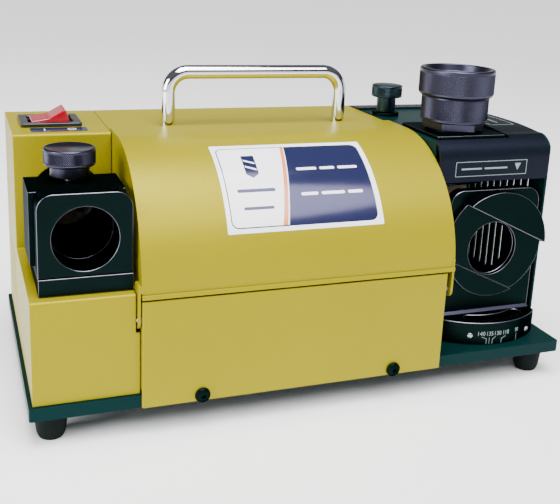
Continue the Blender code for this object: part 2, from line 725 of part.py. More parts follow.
def build_turret(mats):
    """Angle turret: arc-fronted sector with a curved slot, turning on a pin in the base."""
    origin = (*PIVOT, DECK)
    reach = math.degrees(math.asin(TURRET_HALF_W / TURRET_R))
    outline = arc(PIVOT, TURRET_R, 270 - reach, 270 + reach, 16)
    outline += [(PIVOT[0] + TURRET_HALF_W, PIVOT[1] - 26.0)]
    outline += arc(PIVOT, 12.0, -10, 190, 10)
    outline += [(PIVOT[0] - TURRET_HALF_W, PIVOT[1] - 26.0)]
    turret = add_object("turret", prism(outline, "Z", DECK, TURRET_TOP), mats["block"], origin)
    slot = arc(PIVOT, SLOT_R[0], SLOT_ANGLES[0], SLOT_ANGLES[1], 12)
    slot += arc(PIVOT, SLOT_R[1], SLOT_ANGLES[1], SLOT_ANGLES[0], 12)
    cut(turret, prism(slot, "Z", 0, 30), "slot")
    cut(turret, rod("Z", PIVOT, 4.0 + GAP, 0, 30, SMALL), "pivot_hole")
    pin = [(0, 0.5), (4.0, 0.5), (4.0, TURRET_TOP + GAP), (7.5, TURRET_TOP + GAP), (7.5, 24.0), (0, 24.0)]
    add_object("turret_pivot", turned(pin, "Z", PIVOT, 20), mats["steel"])
    clamp = [(0, 0.5), (3.2, 0.5), (3.2, 15.5), (3.7, 15.5), (3.7, 20.6), (0, 20.6)]
    screw = add_object("clamp_screw", turned(clamp, "Z", clamp_centre(), 20), mats["block"])
    cut(screw, prism(arc(clamp_centre(), 1.9, 0, 300, 5), "Z", 17.5, 25), "socket")


def channel_strip(low, high, reach):
    """Outline of a strip parallel to the slanting channel, between two offsets from the bore."""
    slope = math.radians(CHANNEL_SLOPE)
    along = Vector((math.cos(slope), -math.sin(slope)))
    up = Vector((math.sin(slope), math.cos(slope)))
    centre = Vector(HEAD_BORE)
    corners = ((-reach, low), (reach, low), (reach, high), (-reach, high))
    return [tuple(centre + along * a + up * b) for a, b in corners]


def build_cam_head(mats):
    """Upright plate on the turret and the round head whose slanting channel guides the chuck."""
    origin = (*PIVOT, DECK)
    outline = port_outline((PLATE_X[0], TURRET_TOP + GAP), (PLATE_X[1], PLATE_TOP), 9.0)
    plate = add_object("port_plate", prism(outline, "Y", *PLATE_Y), mats["block"], origin)
    soften(plate, 0.5)
    cut(plate, rod("Y", HEAD_BORE, PORT_R, 10, 40, BIG), "bore")
    disc = rod("Y", HEAD_CENTRE, HEAD_R, *HEAD_Y, 48)
    head = add_object("cam_head", disc, mats["block"], origin)
    soften(head, 0.5)
    below = channel_strip(-60, CHANNEL_HALF_W, 60)
    cut(head, prism(below, "Y", HEAD_Y[0] - 5, LOWER_LAND), "front")
    middle = channel_strip(-CHANNEL_HALF_W, CHANNEL_HALF_W, 60)
    cut(head, prism(middle, "Y", HEAD_Y[0] - 5, CHANNEL_FLOOR), "channel")
    cut(head, rod("Y", HEAD_BORE, PORT_R, 5, 40, BIG), "bore")


# ---------------------------------------------------------------- motor and wheels

def build_motor(mats):
    """Motor can, windings, end bells and bearings, on two saddles."""
    left, right = CAN_X
    add_object("motor_can", ring("X", AXIS, MOTOR_R - 3, MOTOR_R, left, right, MEDIUM), mats["alloy"])
    stator = ring("X", AXIS, 24.0, MOTOR_R - 3 - GAP, left + 22, right - 22, MEDIUM)
    add_object("motor_stator", stator, mats["copper"])
    for side, wall, sign in (("left", left - GAP, -1), ("right", right + GAP, 1)):
        outside = wall + sign * BELL_T
        profile = [
            (10.0, outside), (28.0, outside), (MOTOR_R, wall + sign * 4.0), (MOTOR_R, wall),
            (16.3, wall), (16.3, outside - sign * 3.0), (10.0, outside - sign * 3.0),
        ]
        add_object(f"motor_bell_{side}", turned(profile, "X", AXIS, MEDIUM), mats["alloy"])
        seat = sorted((outside - sign * 3.3, outside - sign * 12.0))
        race = ring("X", AXIS, SHAFT_R + GAP, 16.0, *seat, 24)
        add_object(f"bearing_{side}", race, mats["steel"])
    for side, x in zip(("left", "right"), SADDLE_X):
        outline = [(AXIS[0] - 40, DECK), (AXIS[0] + 40, DECK), (AXIS[0] + 40, 46.0)]
        outline += arc(AXIS, MOTOR_R + GAP, -38, -142, 14)
        outline.append((AXIS[0] - 40, 46.0))
        add_object(f"motor_saddle_{side}", prism(outline, "X", x, x + SADDLE_T), mats["alloy"])


def build_rotor(mats):
    """Shaft through both ends of the motor, with its core, a wheel at each end, flanges and nuts."""
    centre = (sum(CAN_X) / 2, *AXIS)
    add_object("motor_shaft", rod("X", AXIS, SHAFT_R, *SHAFT_X, 20, 0.5), mats["steel"], centre)
    core = ring("X", AXIS, SHAFT_R + GAP, 23.2, CAN_X[0] + 20, CAN_X[1] - 20, MEDIUM)
    add_object("rotor_core", core, mats["steel"], centre)
    bore = SHAFT_R + GAP
    thin = ring("X", AXIS, bore, THIN_WHEEL_R, *THIN_WHEEL_X, MEDIUM)
    add_object("thinning_wheel", thin, mats["grit"], centre)
    start, knee, end = POINT_WHEEL_X
    big, small = POINT_WHEEL_R
    cone = [(bore, start), (big, start), (big, knee), (small, end), (bore, end)]
    add_object("point_wheel", turned(cone, "X", AXIS, BIG), mats["grit"], centre)
    thin_nut = (THIN_WHEEL_X[0] - 7.0, THIN_WHEEL_X[0] - GAP)
    thin_flange = (THIN_WHEEL_X[1] + GAP, THIN_WHEEL_X[1] + 6.0)
    point_flange = (start - 6.0, start - GAP)
    point_nut = (end + GAP, end + 7.0)
    for name, span, radius, sides in (
        ("wheel_nut_left", thin_nut, 9.5, 6), ("wheel_nut_right", point_nut, 9.5, 6),
        ("wheel_flange_left", thin_flange, 14.0, 24), ("wheel_flange_right", point_flange, 16.0, 24),
    ):
        solid = prism(arc(AXIS, radius, 0, 360 - 360 / sides, sides - 1), "X", *span)
        piece = add_object(name, solid, mats["steel"], centre)
        cut(piece, rod("X", AXIS, bore, span[0] - 2, span[1] + 2, 20), "bore")


def build_gland(mats):
    """Cable gland through the rear wall."""
    face = BASE_D + GAP
    profile = [
        (GLAND_BORE_R, face - 8.0), (6.7, face - 8.0), (6.7, face), (GLAND_R, face),
        (GLAND_R, face + 2.6), (7.0, face + GLAND_PROUD), (GLAND_BORE_R, face + GLAND_PROUD),
    ]
    add_object("cable_gland", turned(profile, "Y", GLAND, 24), mats["rubber"])


def main():
    for existing in list(bpy.data.objects):
        bpy.data.objects.remove(existing, do_unlink=True)
    mats = make_materials()
    build_base(mats)
    build_left_casing(mats)
    build_switch(mats)
    build_thinning_port(mats)
    build_top_cover(mats)
    build_handle(mats)
    build_hood(mats)
    build_front_panel(mats)
    build_partition(mats)
    build_right_housing(mats)
    build_setting_device(mats)
    build_chuck(mats)
    build_turret(mats)
    build_cam_head(mats)
    build_motor(mats)
    build_rotor(mats)
    build_gland(mats)


main()
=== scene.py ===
"""Looks of a bench drill bit sharpener, built over the frame of its working parts.

Sizes are in millimetres in the machine's own frame: X to the right, Y to the back and Z up from
the underside of the base plate, whose front left corner is the zero.
"""
import logging
import math
from collections.abc import Callable, Iterable, Mapping, Sequence
from dataclasses import dataclass, field
from enum import Enum

import bmesh
import bpy
from mathutils import Matrix, Vector


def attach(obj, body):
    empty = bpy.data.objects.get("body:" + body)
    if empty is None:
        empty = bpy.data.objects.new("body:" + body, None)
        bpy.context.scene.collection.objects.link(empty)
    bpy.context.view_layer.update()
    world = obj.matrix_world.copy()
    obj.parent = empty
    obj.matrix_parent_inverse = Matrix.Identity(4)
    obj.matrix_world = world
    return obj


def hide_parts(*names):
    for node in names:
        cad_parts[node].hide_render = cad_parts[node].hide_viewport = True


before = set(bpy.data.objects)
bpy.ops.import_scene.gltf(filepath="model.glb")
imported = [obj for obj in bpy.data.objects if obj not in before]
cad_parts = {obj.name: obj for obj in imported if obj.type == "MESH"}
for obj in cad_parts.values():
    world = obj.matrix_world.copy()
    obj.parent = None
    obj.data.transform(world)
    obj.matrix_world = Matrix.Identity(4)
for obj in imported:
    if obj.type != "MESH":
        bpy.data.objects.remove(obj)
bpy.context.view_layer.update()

MM = 0.001
ROOT = "machine"
PANEL_SCREWS = ((89.5, 3.8), (203.3, 3.8))  # X and Z of the front panel's screws
PANEL_HOLE_RADIUS = 2.0  # holes those screws pass through
CHUCK_AXIS = (265.0, 58.0)  # X and Y of the chuck in its seat
TURRET_PIVOT = (279.5, 55.0)  # X and Y of the pin the turret swivels on
TURRET_CLAMP = (279.5, 14.2)  # X and Y of the turret's clamp screw
THINNING_BORE = (30.6, 92.3)  # X and Z of the thinning port's bore
PORT_RADIUS = 16.85  # both ports' bores, which the chuck's nut slides into
PIN_HOLE_RADIUS = 2.3  # holes for the hood's two pins
GLAND = (100.0, 30.0)  # X and Z of the cable gland
TOP = 129.8  # top face of the yellow sheets
REAR = 160.7  # back of the base plate and of all sheets
SHEET_FLOOR = 7.4  # lower edge of the sheets, just above the base plate
log = logging.getLogger("sharpener")

Outline = list[tuple[float, float]]
Laying = Callable[[float, float, float], Vector]  # two flat coordinates and a height to a point


# ---------------------------------------------------------------- drawing

def place(x: float, y: float, z: float) -> Vector:
    """Machine millimetres to metres in the frame of the working parts."""
    return Vector(((x - 160.0) * MM, (y - 80.7) * MM, (z + 16.0) * MM))


def along(axis: str, distance: float, u: float, v: float) -> Vector:
    """Placed point at a distance along an axis, with the other two coordinates in order."""
    return place(*{"X": (distance, u, v), "Y": (u, distance, v), "Z": (u, v, distance)}[axis])


def arc(centre: tuple[float, float], radius: float, start: float, end: float, steps: int) -> Outline:
    """Points of an arc from one angle to another, in degrees, both ends included."""
    angles = (math.radians(start + (end - start) * i / steps) for i in range(steps + 1))
    return [(centre[0] + radius * math.cos(a), centre[1] + radius * math.sin(a)) for a in angles]


def rectangle(u0: float, u1: float, v0: float, v1: float) -> Outline:
    """Corners of a rectangle, counterclockwise."""
    return [(u0, v0), (u1, v0), (u1, v1), (u0, v1)]


def fillet(corners: Sequence[tuple[float, ...]], steps: int = 6) -> Outline:
    """Round the corners of an outline.

    Args:
        corners: (u, v) for a sharp corner, or (u, v, radius) for a rounded one.
        steps: Pieces that each rounding is drawn with.

    Returns:
        The outline's points.
    """
    points: Outline = []
    for i, corner in enumerate(corners):
        here = Vector(corner[:2])
        if len(corner) < 3 or corner[2] <= 0:
            points.append(tuple(here))
            continue
        before = (Vector(corners[i - 1][:2]) - here).normalized()
        after = (Vector(corners[(i + 1) % len(corners)][:2]) - here).normalized()
        half = before.angle(after) / 2
        centre = here + (before + after).normalized() * (corner[2] / math.sin(half))
        spoke = here + before * (corner[2] / math.tan(half)) - centre
        last = here + after * (corner[2] / math.tan(half)) - centre
        turn = math.atan2(spoke.x * last.y - spoke.y * last.x, spoke.dot(last))
        for k in range(steps + 1):
            points.append(tuple(centre + Matrix.Rotation(turn * k / steps, 2) @ spoke))
    return points


def round_box(u0: float, u1: float, v0: float, v1: float, radius: float) -> Outline:
    """Rectangle with four equal round corners."""
    return fillet([(u, v, radius) for u, v in rectangle(u0, u1, v0, v1)])


# ---------------------------------------------------------------- node trees

def linear(code: str) -> tuple[float, float, float, float]:
    """Linear colour of an sRGB hex code."""
    parts = [int(code[i:i + 2], 16) / 255 for i in (1, 3, 5)]
    return (*(p / 12.92 if p <= 0.04045 else ((p + 0.055) / 1.055) ** 2.4 for p in parts), 1.0)


@dataclass
class Graph:
    """Node tree that is filled in one node at a time."""

    tree: bpy.types.NodeTree

    def add(self, kind: str, inputs: Mapping[str | int, object] | None = None,
            **settings: object) -> bpy.types.Node:
        """Add a node with its settings, and link or set its inputs.

        Args:
            kind: Blender's name for the node type.
            inputs: Input name or number to a value, a socket or a node whose first output is meant.
            **settings: Properties of the node itself.

        Returns:
            The new node.
        """
        node = self.tree.nodes.new(kind)
        for key, value in settings.items():
            setattr(node, key, value)
        for key, value in (inputs or {}).items():
            if isinstance(value, bpy.types.Node):
                value = value.outputs[0]
            if isinstance(value, bpy.types.NodeSocket):
                self.tree.links.new(value, node.inputs[key])
            else:
                node.inputs[key].default_value = value
        return node

    def maths(self, operation: str, *values: object) -> bpy.types.Node:
        """Scalar maths node on up to three values."""
        return self.add("ShaderNodeMath", dict(enumerate(values)), operation=operation)


class Grain(Enum):
    """What the fine relief of a finish is made of."""

    PEEL = "soft dimples of a sprayed or moulded skin"
    WRINKLE = "crossing ridges of wrinkle paint"
    CELLS = "packed grains or crystals"
    STRANDS = "wires laid side by side"


@dataclass(frozen=True)
class Finish:
    """One surface: a material with the process that made it.

    The tones drift over patches of the given size, in mm, and the grain is both relief and roughness.
    The slot names a material slot for the finish; print has none.
    """

    name: str
    tones: tuple[str, str]
    patch: float
    rough: tuple[float, float]
    grain: Grain = Grain.PEEL
    grain_size: float = 1.5
    relief: float = 0.1
    stretch: tuple[float, float, float] = (1.0, 1.0, 1.0)
    metallic: float = 0.0
    extra: tuple[tuple[str, object], ...] = ()
    slot: str | None = None

    def material(self) -> bpy.types.Material:
        """Build the finish as node material, in the piece's own coordinates."""
        made = bpy.data.materials.new(self.name)
        made.use_nodes = True
        graph = Graph(made.node_tree)
        shader = made.node_tree.nodes["Principled BSDF"]
        coords = graph.add("ShaderNodeTexCoord").outputs["Object"]
        patches = graph.add("ShaderNodeTexNoise", {
            "Vector": coords, "Scale": 1 / (self.patch * MM), "Detail": 3.0,
        })
        tones = graph.add("ShaderNodeMix", {
            0: patches.outputs["Fac"], 6: linear(self.tones[0]), 7: linear(self.tones[1]),
        }, data_type="RGBA")
        graph.tree.links.new(tones.outputs[2], shader.inputs["Base Color"])
        scaled = graph.add("ShaderNodeMapping", {"Vector": coords, "Scale": self.stretch})
        height = self.height(graph, scaled)
        rough = graph.add("ShaderNodeMapRange", {
            "Value": height, "To Min": self.rough[0], "To Max": self.rough[1],
        })
        graph.tree.links.new(rough.outputs[0], shader.inputs["Roughness"])
        bump = graph.add("ShaderNodeBump", {
            "Strength": 1.0, "Distance": self.relief * MM, "Height": height,
        })
        graph.tree.links.new(bump.outputs[0], shader.inputs["Normal"])
        shader.inputs["Metallic"].default_value = self.metallic
        for key, value in self.extra:
            shader.inputs[key].default_value = value
        return made

    def height(self, graph: Graph, coords: bpy.types.Node) -> bpy.types.NodeSocket:
        """Relief of the grain, from 0 to 1.

        Args:
            graph: The material's tree.
            coords: Node that gives the stretched coordinates.

        Returns:
            The socket that carries the height.
        """
        scale = 1 / (self.grain_size * MM)
        if self.grain is Grain.PEEL:
            noise = graph.add("ShaderNodeTexNoise", {"Vector": coords, "Scale": scale, "Detail": 2.0})
            return noise.outputs["Fac"]
        if self.grain is Grain.WRINKLE:
            warp = graph.add("ShaderNodeTexNoise", {"Vector": coords, "Scale": scale, "Detail": 2.0})
            cells = graph.add("ShaderNodeTexVoronoi", {
                "Vector": coords, "Scale": scale, "Smoothness": 0.6,
            }, feature="SMOOTH_F1")
            return graph.maths("MULTIPLY_ADD", warp, 0.5, graph.maths("MULTIPLY", cells, 0.5)).outputs[0]
        if self.grain is Grain.CELLS:
            cells = graph.add("ShaderNodeTexVoronoi", {"Vector": coords, "Scale": scale})
            return cells.outputs["Distance"]
        wave = graph.add("ShaderNodeTexWave", {"Vector": coords, "Scale": scale / 6.28, "Distortion": 1.5})
        return wave.outputs["Fac"]


# Powder coat: warm yellow with a faint green lean, softly broken highlights.
YELLOW = Finish(
    "yellow_powder_coat", ("#837900", "#7B7200"), 60, (0.33, 0.47), grain_size=1.4, relief=0.08,
    extra=(("Specular Tint", linear("#FFEE58")), ("Specular IOR Level", 0.7)), slot="yellow_paint",
)
# Wrinkle paint: near-black with painted green light from the surroundings; its ridges catch a violet sheen.
BLACK = Finish(
    "black_wrinkle_paint", ("#050C10", "#04090C"), 45, (0.3, 0.55), Grain.WRINKLE, 1.1, 0.12,
    extra=(("Specular Tint", linear("#B4B0F2")), ("Specular IOR Level", 0.2)), slot="black_paint",
)
# Smooth black powder coat on flat plates, glossier than the wrinkle paint; its teal is painted green light.
BLACK_SMOOTH = Finish(
    "black_powder_coat", ("#022222", "#021C1B"), 50, (0.3, 0.42), grain_size=1.4, relief=0.03,
    extra=(("Specular Tint", linear("#B8D4E0")), ("Specular IOR Level", 0.09)), slot="black_paint",
)
# Steel blackened in hot oxide: blue-black, half matte; its teal is painted green light from around it.
OXIDE = Finish(
    "black_oxide_milled_steel", ("#0C1A19", "#0A1514"), 20, (0.34, 0.48), grain_size=0.9, relief=0.02,
    metallic=1.0, extra=(("Specular Tint", linear("#7C8C92")),), slot="blackened_steel",
)
# Painted highlight: the same steel in a lighter tone, laid on broken edges as the glint of light there.
EDGE_HIGHLIGHT = Finish(
    "painted_edge_highlight_steel", ("#74727F", "#62606D"), 6, (0.26, 0.4), grain_size=0.8, relief=0.01,
    metallic=1.0,
)
# Turned and knurled steel with thin oxide: grey with a violet lean, fine lathe rings.
KNURLED = Finish(
    "oxidised_turned_steel", ("#424253", "#383846"), 14, (0.26, 0.4), grain_size=0.6, relief=0.015,
    stretch=(0.1, 0.1, 1.0), metallic=1.0, slot="knurled_steel",
)
# Darker smooth turned steel of the necks and knob caps.
TURNED_DARK = Finish(
    "dark_turned_steel", ("#34444E", "#28363F"), 14, (0.28, 0.42), grain_size=0.6, relief=0.012,
    stretch=(0.1, 0.1, 1.0), metallic=1.0, slot="knurled_steel",
)
# Polished chrome plate: a mirror with hardly any haze.
CHROME = Finish(
    "chrome_plate", ("#E6E6EA", "#DADADF"), 40, (0.04, 0.08), grain_size=3, relief=0.002, metallic=1.0,
    slot="chrome",
)
# Ground and zinc-bright steel of shafts, nuts and pins.
STEEL = Finish(
    "ground_steel", ("#B4B4B8", "#A2A2A8"), 9, (0.22, 0.36), grain_size=0.7, relief=0.01, metallic=1.0,
    slot="bright_steel",
)
# Moulded rubber: black with painted green light from the surroundings, no clear highlight.
RUBBER = Finish(
    "moulded_rubber", ("#010A09", "#010807"), 12, (0.62, 0.8), grain_size=0.8, relief=0.04,
    extra=(("Specular IOR Level", 0.12),), slot="foot_rubber",
)
# Injection moulded black plastic with a satin skin.
PLASTIC = Finish(
    "moulded_black_plastic", ("#15171B", "#101216"), 15, (0.24, 0.34), grain_size=0.7, relief=0.012,
    slot="black_plastic",
)
# Clear red polycarbonate over a lamp: deep where thick, wet highlight.
LENS = Finish(
    "red_polycarbonate", ("#B80A24", "#8F081C"), 8, (0.08, 0.16), grain_size=3, relief=0.004,
    extra=(("Transmission Weight", 0.25), ("IOR", 1.58), ("Coat Weight", 0.4), ("Coat Roughness", 0.05)),
    slot="red_lens",
)
# Sand cast aluminium: pale grey, pitted.
CAST = Finish(
    "sand_cast_aluminium", ("#9B9DA0", "#85878A"), 10, (0.45, 0.62), Grain.CELLS, 0.8, 0.06,
    metallic=1.0, slot="cast_alloy",
)
# Enamelled copper laid in strands.
WINDING = Finish(
    "enamelled_copper", ("#9A4A22", "#7A3717"), 8, (0.25, 0.4), Grain.STRANDS, 0.8, 0.2, metallic=1.0,
)
# Bonded abrasive: warm grey grains, fully matte, drawn coarser than the real 0.1 mm grit.
GRIT = Finish(
    "bonded_abrasive", ("#8F8676", "#6E6658"), 4, (0.8, 0.95), Grain.CELLS, 0.6, 0.15,
    slot="wheel_grit",
)
# Printed label film and its inks under clear gloss.
FILM = Finish("white_label_film", ("#F0F0F4", "#E9E9EF"), 30, (0.14, 0.2), grain_size=4, relief=0.004)
INK = Finish(
    "dark_label_ink", ("#1D2140", "#1A1D38"), 30, (0.1, 0.16), grain_size=4, relief=0.004,
    extra=(("Specular Tint", linear("#D8D2FF")), ("Specular IOR Level", 0.6)),
)
ORANGE = Finish("orange_label_ink", ("#D97E55", "#D2744A"), 20, (0.14, 0.2), grain_size=4, relief=0.004)
# Pale filling of engraved lines and figures.
MARKING = Finish("pale_marking_paint", ("#7F928E", "#70827E"), 5, (0.45, 0.6), grain_size=0.8, relief=0.01)


@dataclass
class Palette:
    """Builds each finish once and hands out its material."""

    made: dict[str, bpy.types.Material] = field(default_factory=dict)

    def __call__(self, finish: Finish) -> bpy.types.Material:
        """Material of a finish."""
        if finish.name not in self.made:
            self.made[finish.name] = finish.material()
        return self.made[finish.name]


PALETTE = Palette()


# ---------------------------------------------------------------- solids

@dataclass
class Edge:
    """How a piece's sharp edges are broken.

    The width is in mm, and edges that turn by more than the angle, in degrees, are given it. Highlighted
    edges take a lighter steel as painted highlight. Without the clamp the width holds even beside the small
    faces of a cut.
    """

    width: float = 0.4
    segments: int = 3
    angle: float = 38.0
    # Bevel faces drawn in a lighter steel as painted highlight on the edges.
    highlighted: bool = False
    clamp: bool = True


@dataclass
class Solid:
    """Closed mesh under construction, one or more shells, in placed metres."""

    bm: bmesh.types.BMesh = field(default_factory=bmesh.new)

    def prism(self, outline: Outline, axis: str, start: float, end: float) -> "Solid":
        """Add a closed outline extruded along an axis."""
        lower = [self.bm.verts.new(along(axis, start, u, v)) for u, v in outline]
        upper = [self.bm.verts.new(along(axis, end, u, v)) for u, v in outline]
        faces = [self.bm.faces.new(lower), self.bm.faces.new(list(reversed(upper)))]
        for i in range(len(outline)):
            j = (i + 1) % len(outline)
            faces.append(self.bm.faces.new((lower[i], upper[i], upper[j], lower[j])))
        bmesh.ops.recalc_face_normals(self.bm, faces=faces)
        return self

    def box(self, x: tuple[float, float], y: tuple[float, float], z: tuple[float, float]) -> "Solid":
        """Add a box from its three spans."""
        return self.prism(rectangle(*x, *y), "Z", *z)

    def lathe(self, profile: Outline, axis: str, centre: tuple[float, float], sides: int = 96) -> "Solid":
        """Add a turned shape.

        Args:
            profile: (radius, distance along the axis); it starts and ends at radius 0, or is a loop.
            axis: The axis of revolution.
            centre: The other two coordinates of that axis.
            sides: Flats round the shape.

        Returns:
            This solid.
        """
        rings = []
        for radius, distance in profile:
            if radius == 0:
                rings.append([self.bm.verts.new(along(axis, distance, *centre))])
                continue
            points = arc(centre, radius, 0, 360.0 * (sides - 1) / sides, sides - 1)
            rings.append([self.bm.verts.new(along(axis, distance, u, v)) for u, v in points])
        if len(rings[0]) > 1:
            rings.append(rings[0])
        faces = []
        for near, far in zip(rings, rings[1:]):
            for i in range(sides):
                j = (i + 1) % sides
                loop = [near[i % len(near)], near[j % len(near)], far[j % len(far)], far[i % len(far)]]
                faces.append(self.bm.faces.new(list(dict.fromkeys(loop))))
        bmesh.ops.recalc_face_normals(self.bm, faces=faces)
        return self

    def rod(self, axis: str, centre: tuple[float, float], radius: float, start: float, end: float,
            sides: int = 64) -> "Solid":
        """Add a plain bar."""
        return self.lathe([(0, start), (radius, start), (radius, end), (0, end)], axis, centre, sides)

    def rods(self, axis: str, spots: Iterable[tuple[float, float]], radius: float, start: float,
             end: float, sides: int = 64) -> "Solid":
        """Add the same plain bar at several spots."""
        for spot in spots:
            self.rod(axis, spot, radius, start, end, sides)
        return self

    def add(self, mesh: bpy.types.Mesh) -> "Solid":
        """Add a finished mesh, and remove it from the file."""
        self.bm.from_mesh(mesh)
        bpy.data.meshes.remove(mesh)
        return self

    def join(self, other: "Solid") -> "Solid":
        """Take over the shells of another solid, which is used up."""
        mesh = bpy.data.meshes.new("shells")
        other.bm.to_mesh(mesh)
        other.bm.free()
        return self.add(mesh)

    def loose(self) -> bpy.types.Object:
        """Temporary object with this mesh."""
        mesh = bpy.data.meshes.new("tool")
        self.bm.to_mesh(mesh)
        made = bpy.data.objects.new("tool", mesh)
        bpy.context.scene.collection.objects.link(made)
        return made

    def minus(self, tool: "Solid") -> "Solid":
        """Cut another solid out of this one."""
        target, cutter = self.loose(), tool.loose()
        modifier = target.modifiers.new("cut", "BOOLEAN")
        modifier.operation = "DIFFERENCE"
        modifier.solver = "EXACT"
        modifier.object = cutter
        mesh = baked(target)
        self.bm.clear()
        self.add(mesh)
        discard(target)
        discard(cutter)
        tool.bm.free()
        return self

    def piece(self, name: str, body: str, finish: Finish, stands_for: Iterable[str] = (),
              edge: Edge | None = None, smooth: float = 35.0, slotted: bool = True) -> bpy.types.Object:
        """Turn the solid into a finished piece of the machine.

        Args:
            name: The piece's name.
            body: The moving body it rides on.
            finish: Its surface.
            stands_for: Names of the plain parts it replaces.
            edge: How its sharp edges are broken, if they are.
            smooth: Angle in degrees above which an edge stays sharp.
            slotted: Whether it takes the finish's material slot, where there is one; not used.

        Returns:
            The piece.
        """
        mesh = bpy.data.meshes.new(name)
        bmesh.ops.remove_doubles(self.bm, verts=self.bm.verts[:], dist=2e-6)
        if edge is not None and not edge.clamp:
            bmesh.ops.dissolve_limit(
                self.bm, angle_limit=math.radians(0.3), verts=self.bm.verts[:], edges=self.bm.edges[:])
        self.bm.to_mesh(mesh)
        self.bm.free()
        mesh.materials.append(PALETTE(finish))
        made = bpy.data.objects.new(name, mesh)
        bpy.context.scene.collection.objects.link(made)
        if edge is not None:
            bevel = made.modifiers.new("edges", "BEVEL")
            bevel.width = edge.width * MM
            bevel.segments = edge.segments
            bevel.limit_method = "ANGLE"
            bevel.angle_limit = math.radians(edge.angle)
            bevel.miter_outer = "MITER_ARC"
            bevel.use_clamp_overlap = edge.clamp
            bevel.harden_normals = not edge.clamp
            # Bevel faces take the lighter steel: painted highlight on the broken edges.
            if edge.highlighted:
                mesh.materials.append(PALETTE(EDGE_HIGHLIGHT))
                bevel.material = 1
        mesh.shade_smooth()
        mesh.set_sharp_from_angle(angle=math.radians(smooth))
        if edge is not None:
            mesh.shade_smooth()
            if edge.clamp:
                made.modifiers.new("normals", "WEIGHTED_NORMAL").keep_sharp = True
            made.data = baked(made)
            made.modifiers.clear()
            bpy.data.meshes.remove(mesh)
            made.data.name = name
        for polygon in made.data.polygons:
            polygon.material_index = min(polygon.material_index, len(made.data.materials) - 1)
        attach(made, body)
        if stands_for:
            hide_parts(*stands_for)
        return made

    def refine(self, node: str, body: str, finish: Finish, edge: Edge | None = None) -> bpy.types.Object:
        """Turn the solid into the finished piece that stands for one plain part."""
        return self.piece(f"{node}_fine", body, finish, [node], edge)


def baked(item: bpy.types.Object) -> bpy.types.Mesh:
    """Mesh of an object with its modifiers applied."""
    bpy.context.view_layer.update()
    graph = bpy.context.evaluated_depsgraph_get()
    return bpy.data.meshes.new_from_object(item.evaluated_get(graph), depsgraph=graph)


def discard(item: bpy.types.Object) -> None:
    """Remove a temporary object with its mesh."""
    mesh = item.data
    bpy.data.objects.remove(item, do_unlink=True)
    bpy.data.meshes.remove(mesh)


# ---------------------------------------------------------------- repeated shapes

@dataclass
class NodeShape:
    """Geometry Nodes tree that is run once and kept as plain mesh."""

    name: str
    sockets: tuple[tuple[str, str], ...]

    def grow(self, graph: Graph, source: bpy.types.Node) -> bpy.types.NodeSocket:
        """Nodes that make the shape out of the named inputs."""
        raise NotImplementedError

    def tree(self) -> bpy.types.NodeTree:
        """The tree, made the first time it is asked for."""
        if self.name in bpy.data.node_groups:
            return bpy.data.node_groups[self.name]
        made = bpy.data.node_groups.new(self.name, "GeometryNodeTree")
        for label, kind in (*self.sockets, ("Finish", "NodeSocketMaterial")):
            made.interface.new_socket(label, in_out="INPUT", socket_type=kind)
        made.interface.new_socket("Geometry", in_out="OUTPUT", socket_type="NodeSocketGeometry")
        graph = Graph(made)
        source = graph.add("NodeGroupInput")
        shape = self.grow(graph, source)
        real = graph.add("GeometryNodeRealizeInstances", {"Geometry": shape})
        coated = graph.add("GeometryNodeSetMaterial", {
            "Geometry": real, "Material": source.outputs["Finish"],
        })
        graph.add("NodeGroupOutput", {0: coated})
        return made

    def bake(self, finish: Finish, base: bpy.types.Mesh | None = None, **values: object) -> bpy.types.Mesh:
        """Run the tree with these inputs.

        Args:
            finish: Surface of the shape.
            base: Mesh that the tree starts from, if it needs one.
            **values: Input values, by input name in lower case.

        Returns:
            The mesh it makes.
        """
        tree = self.tree()
        host = bpy.data.objects.new("host", base or bpy.data.meshes.new("host"))
        bpy.context.scene.collection.objects.link(host)
        modifier = host.modifiers.new("shape", "NODES")
        modifier.node_group = tree
        given = {**values, "finish": PALETTE(finish)}
        for item in tree.interface.items_tree:
            if item.in_out == "INPUT" and item.name.lower() in given:
                modifier[item.identifier] = given[item.name.lower()]
        mesh = baked(host)
        discard(host)
        return mesh


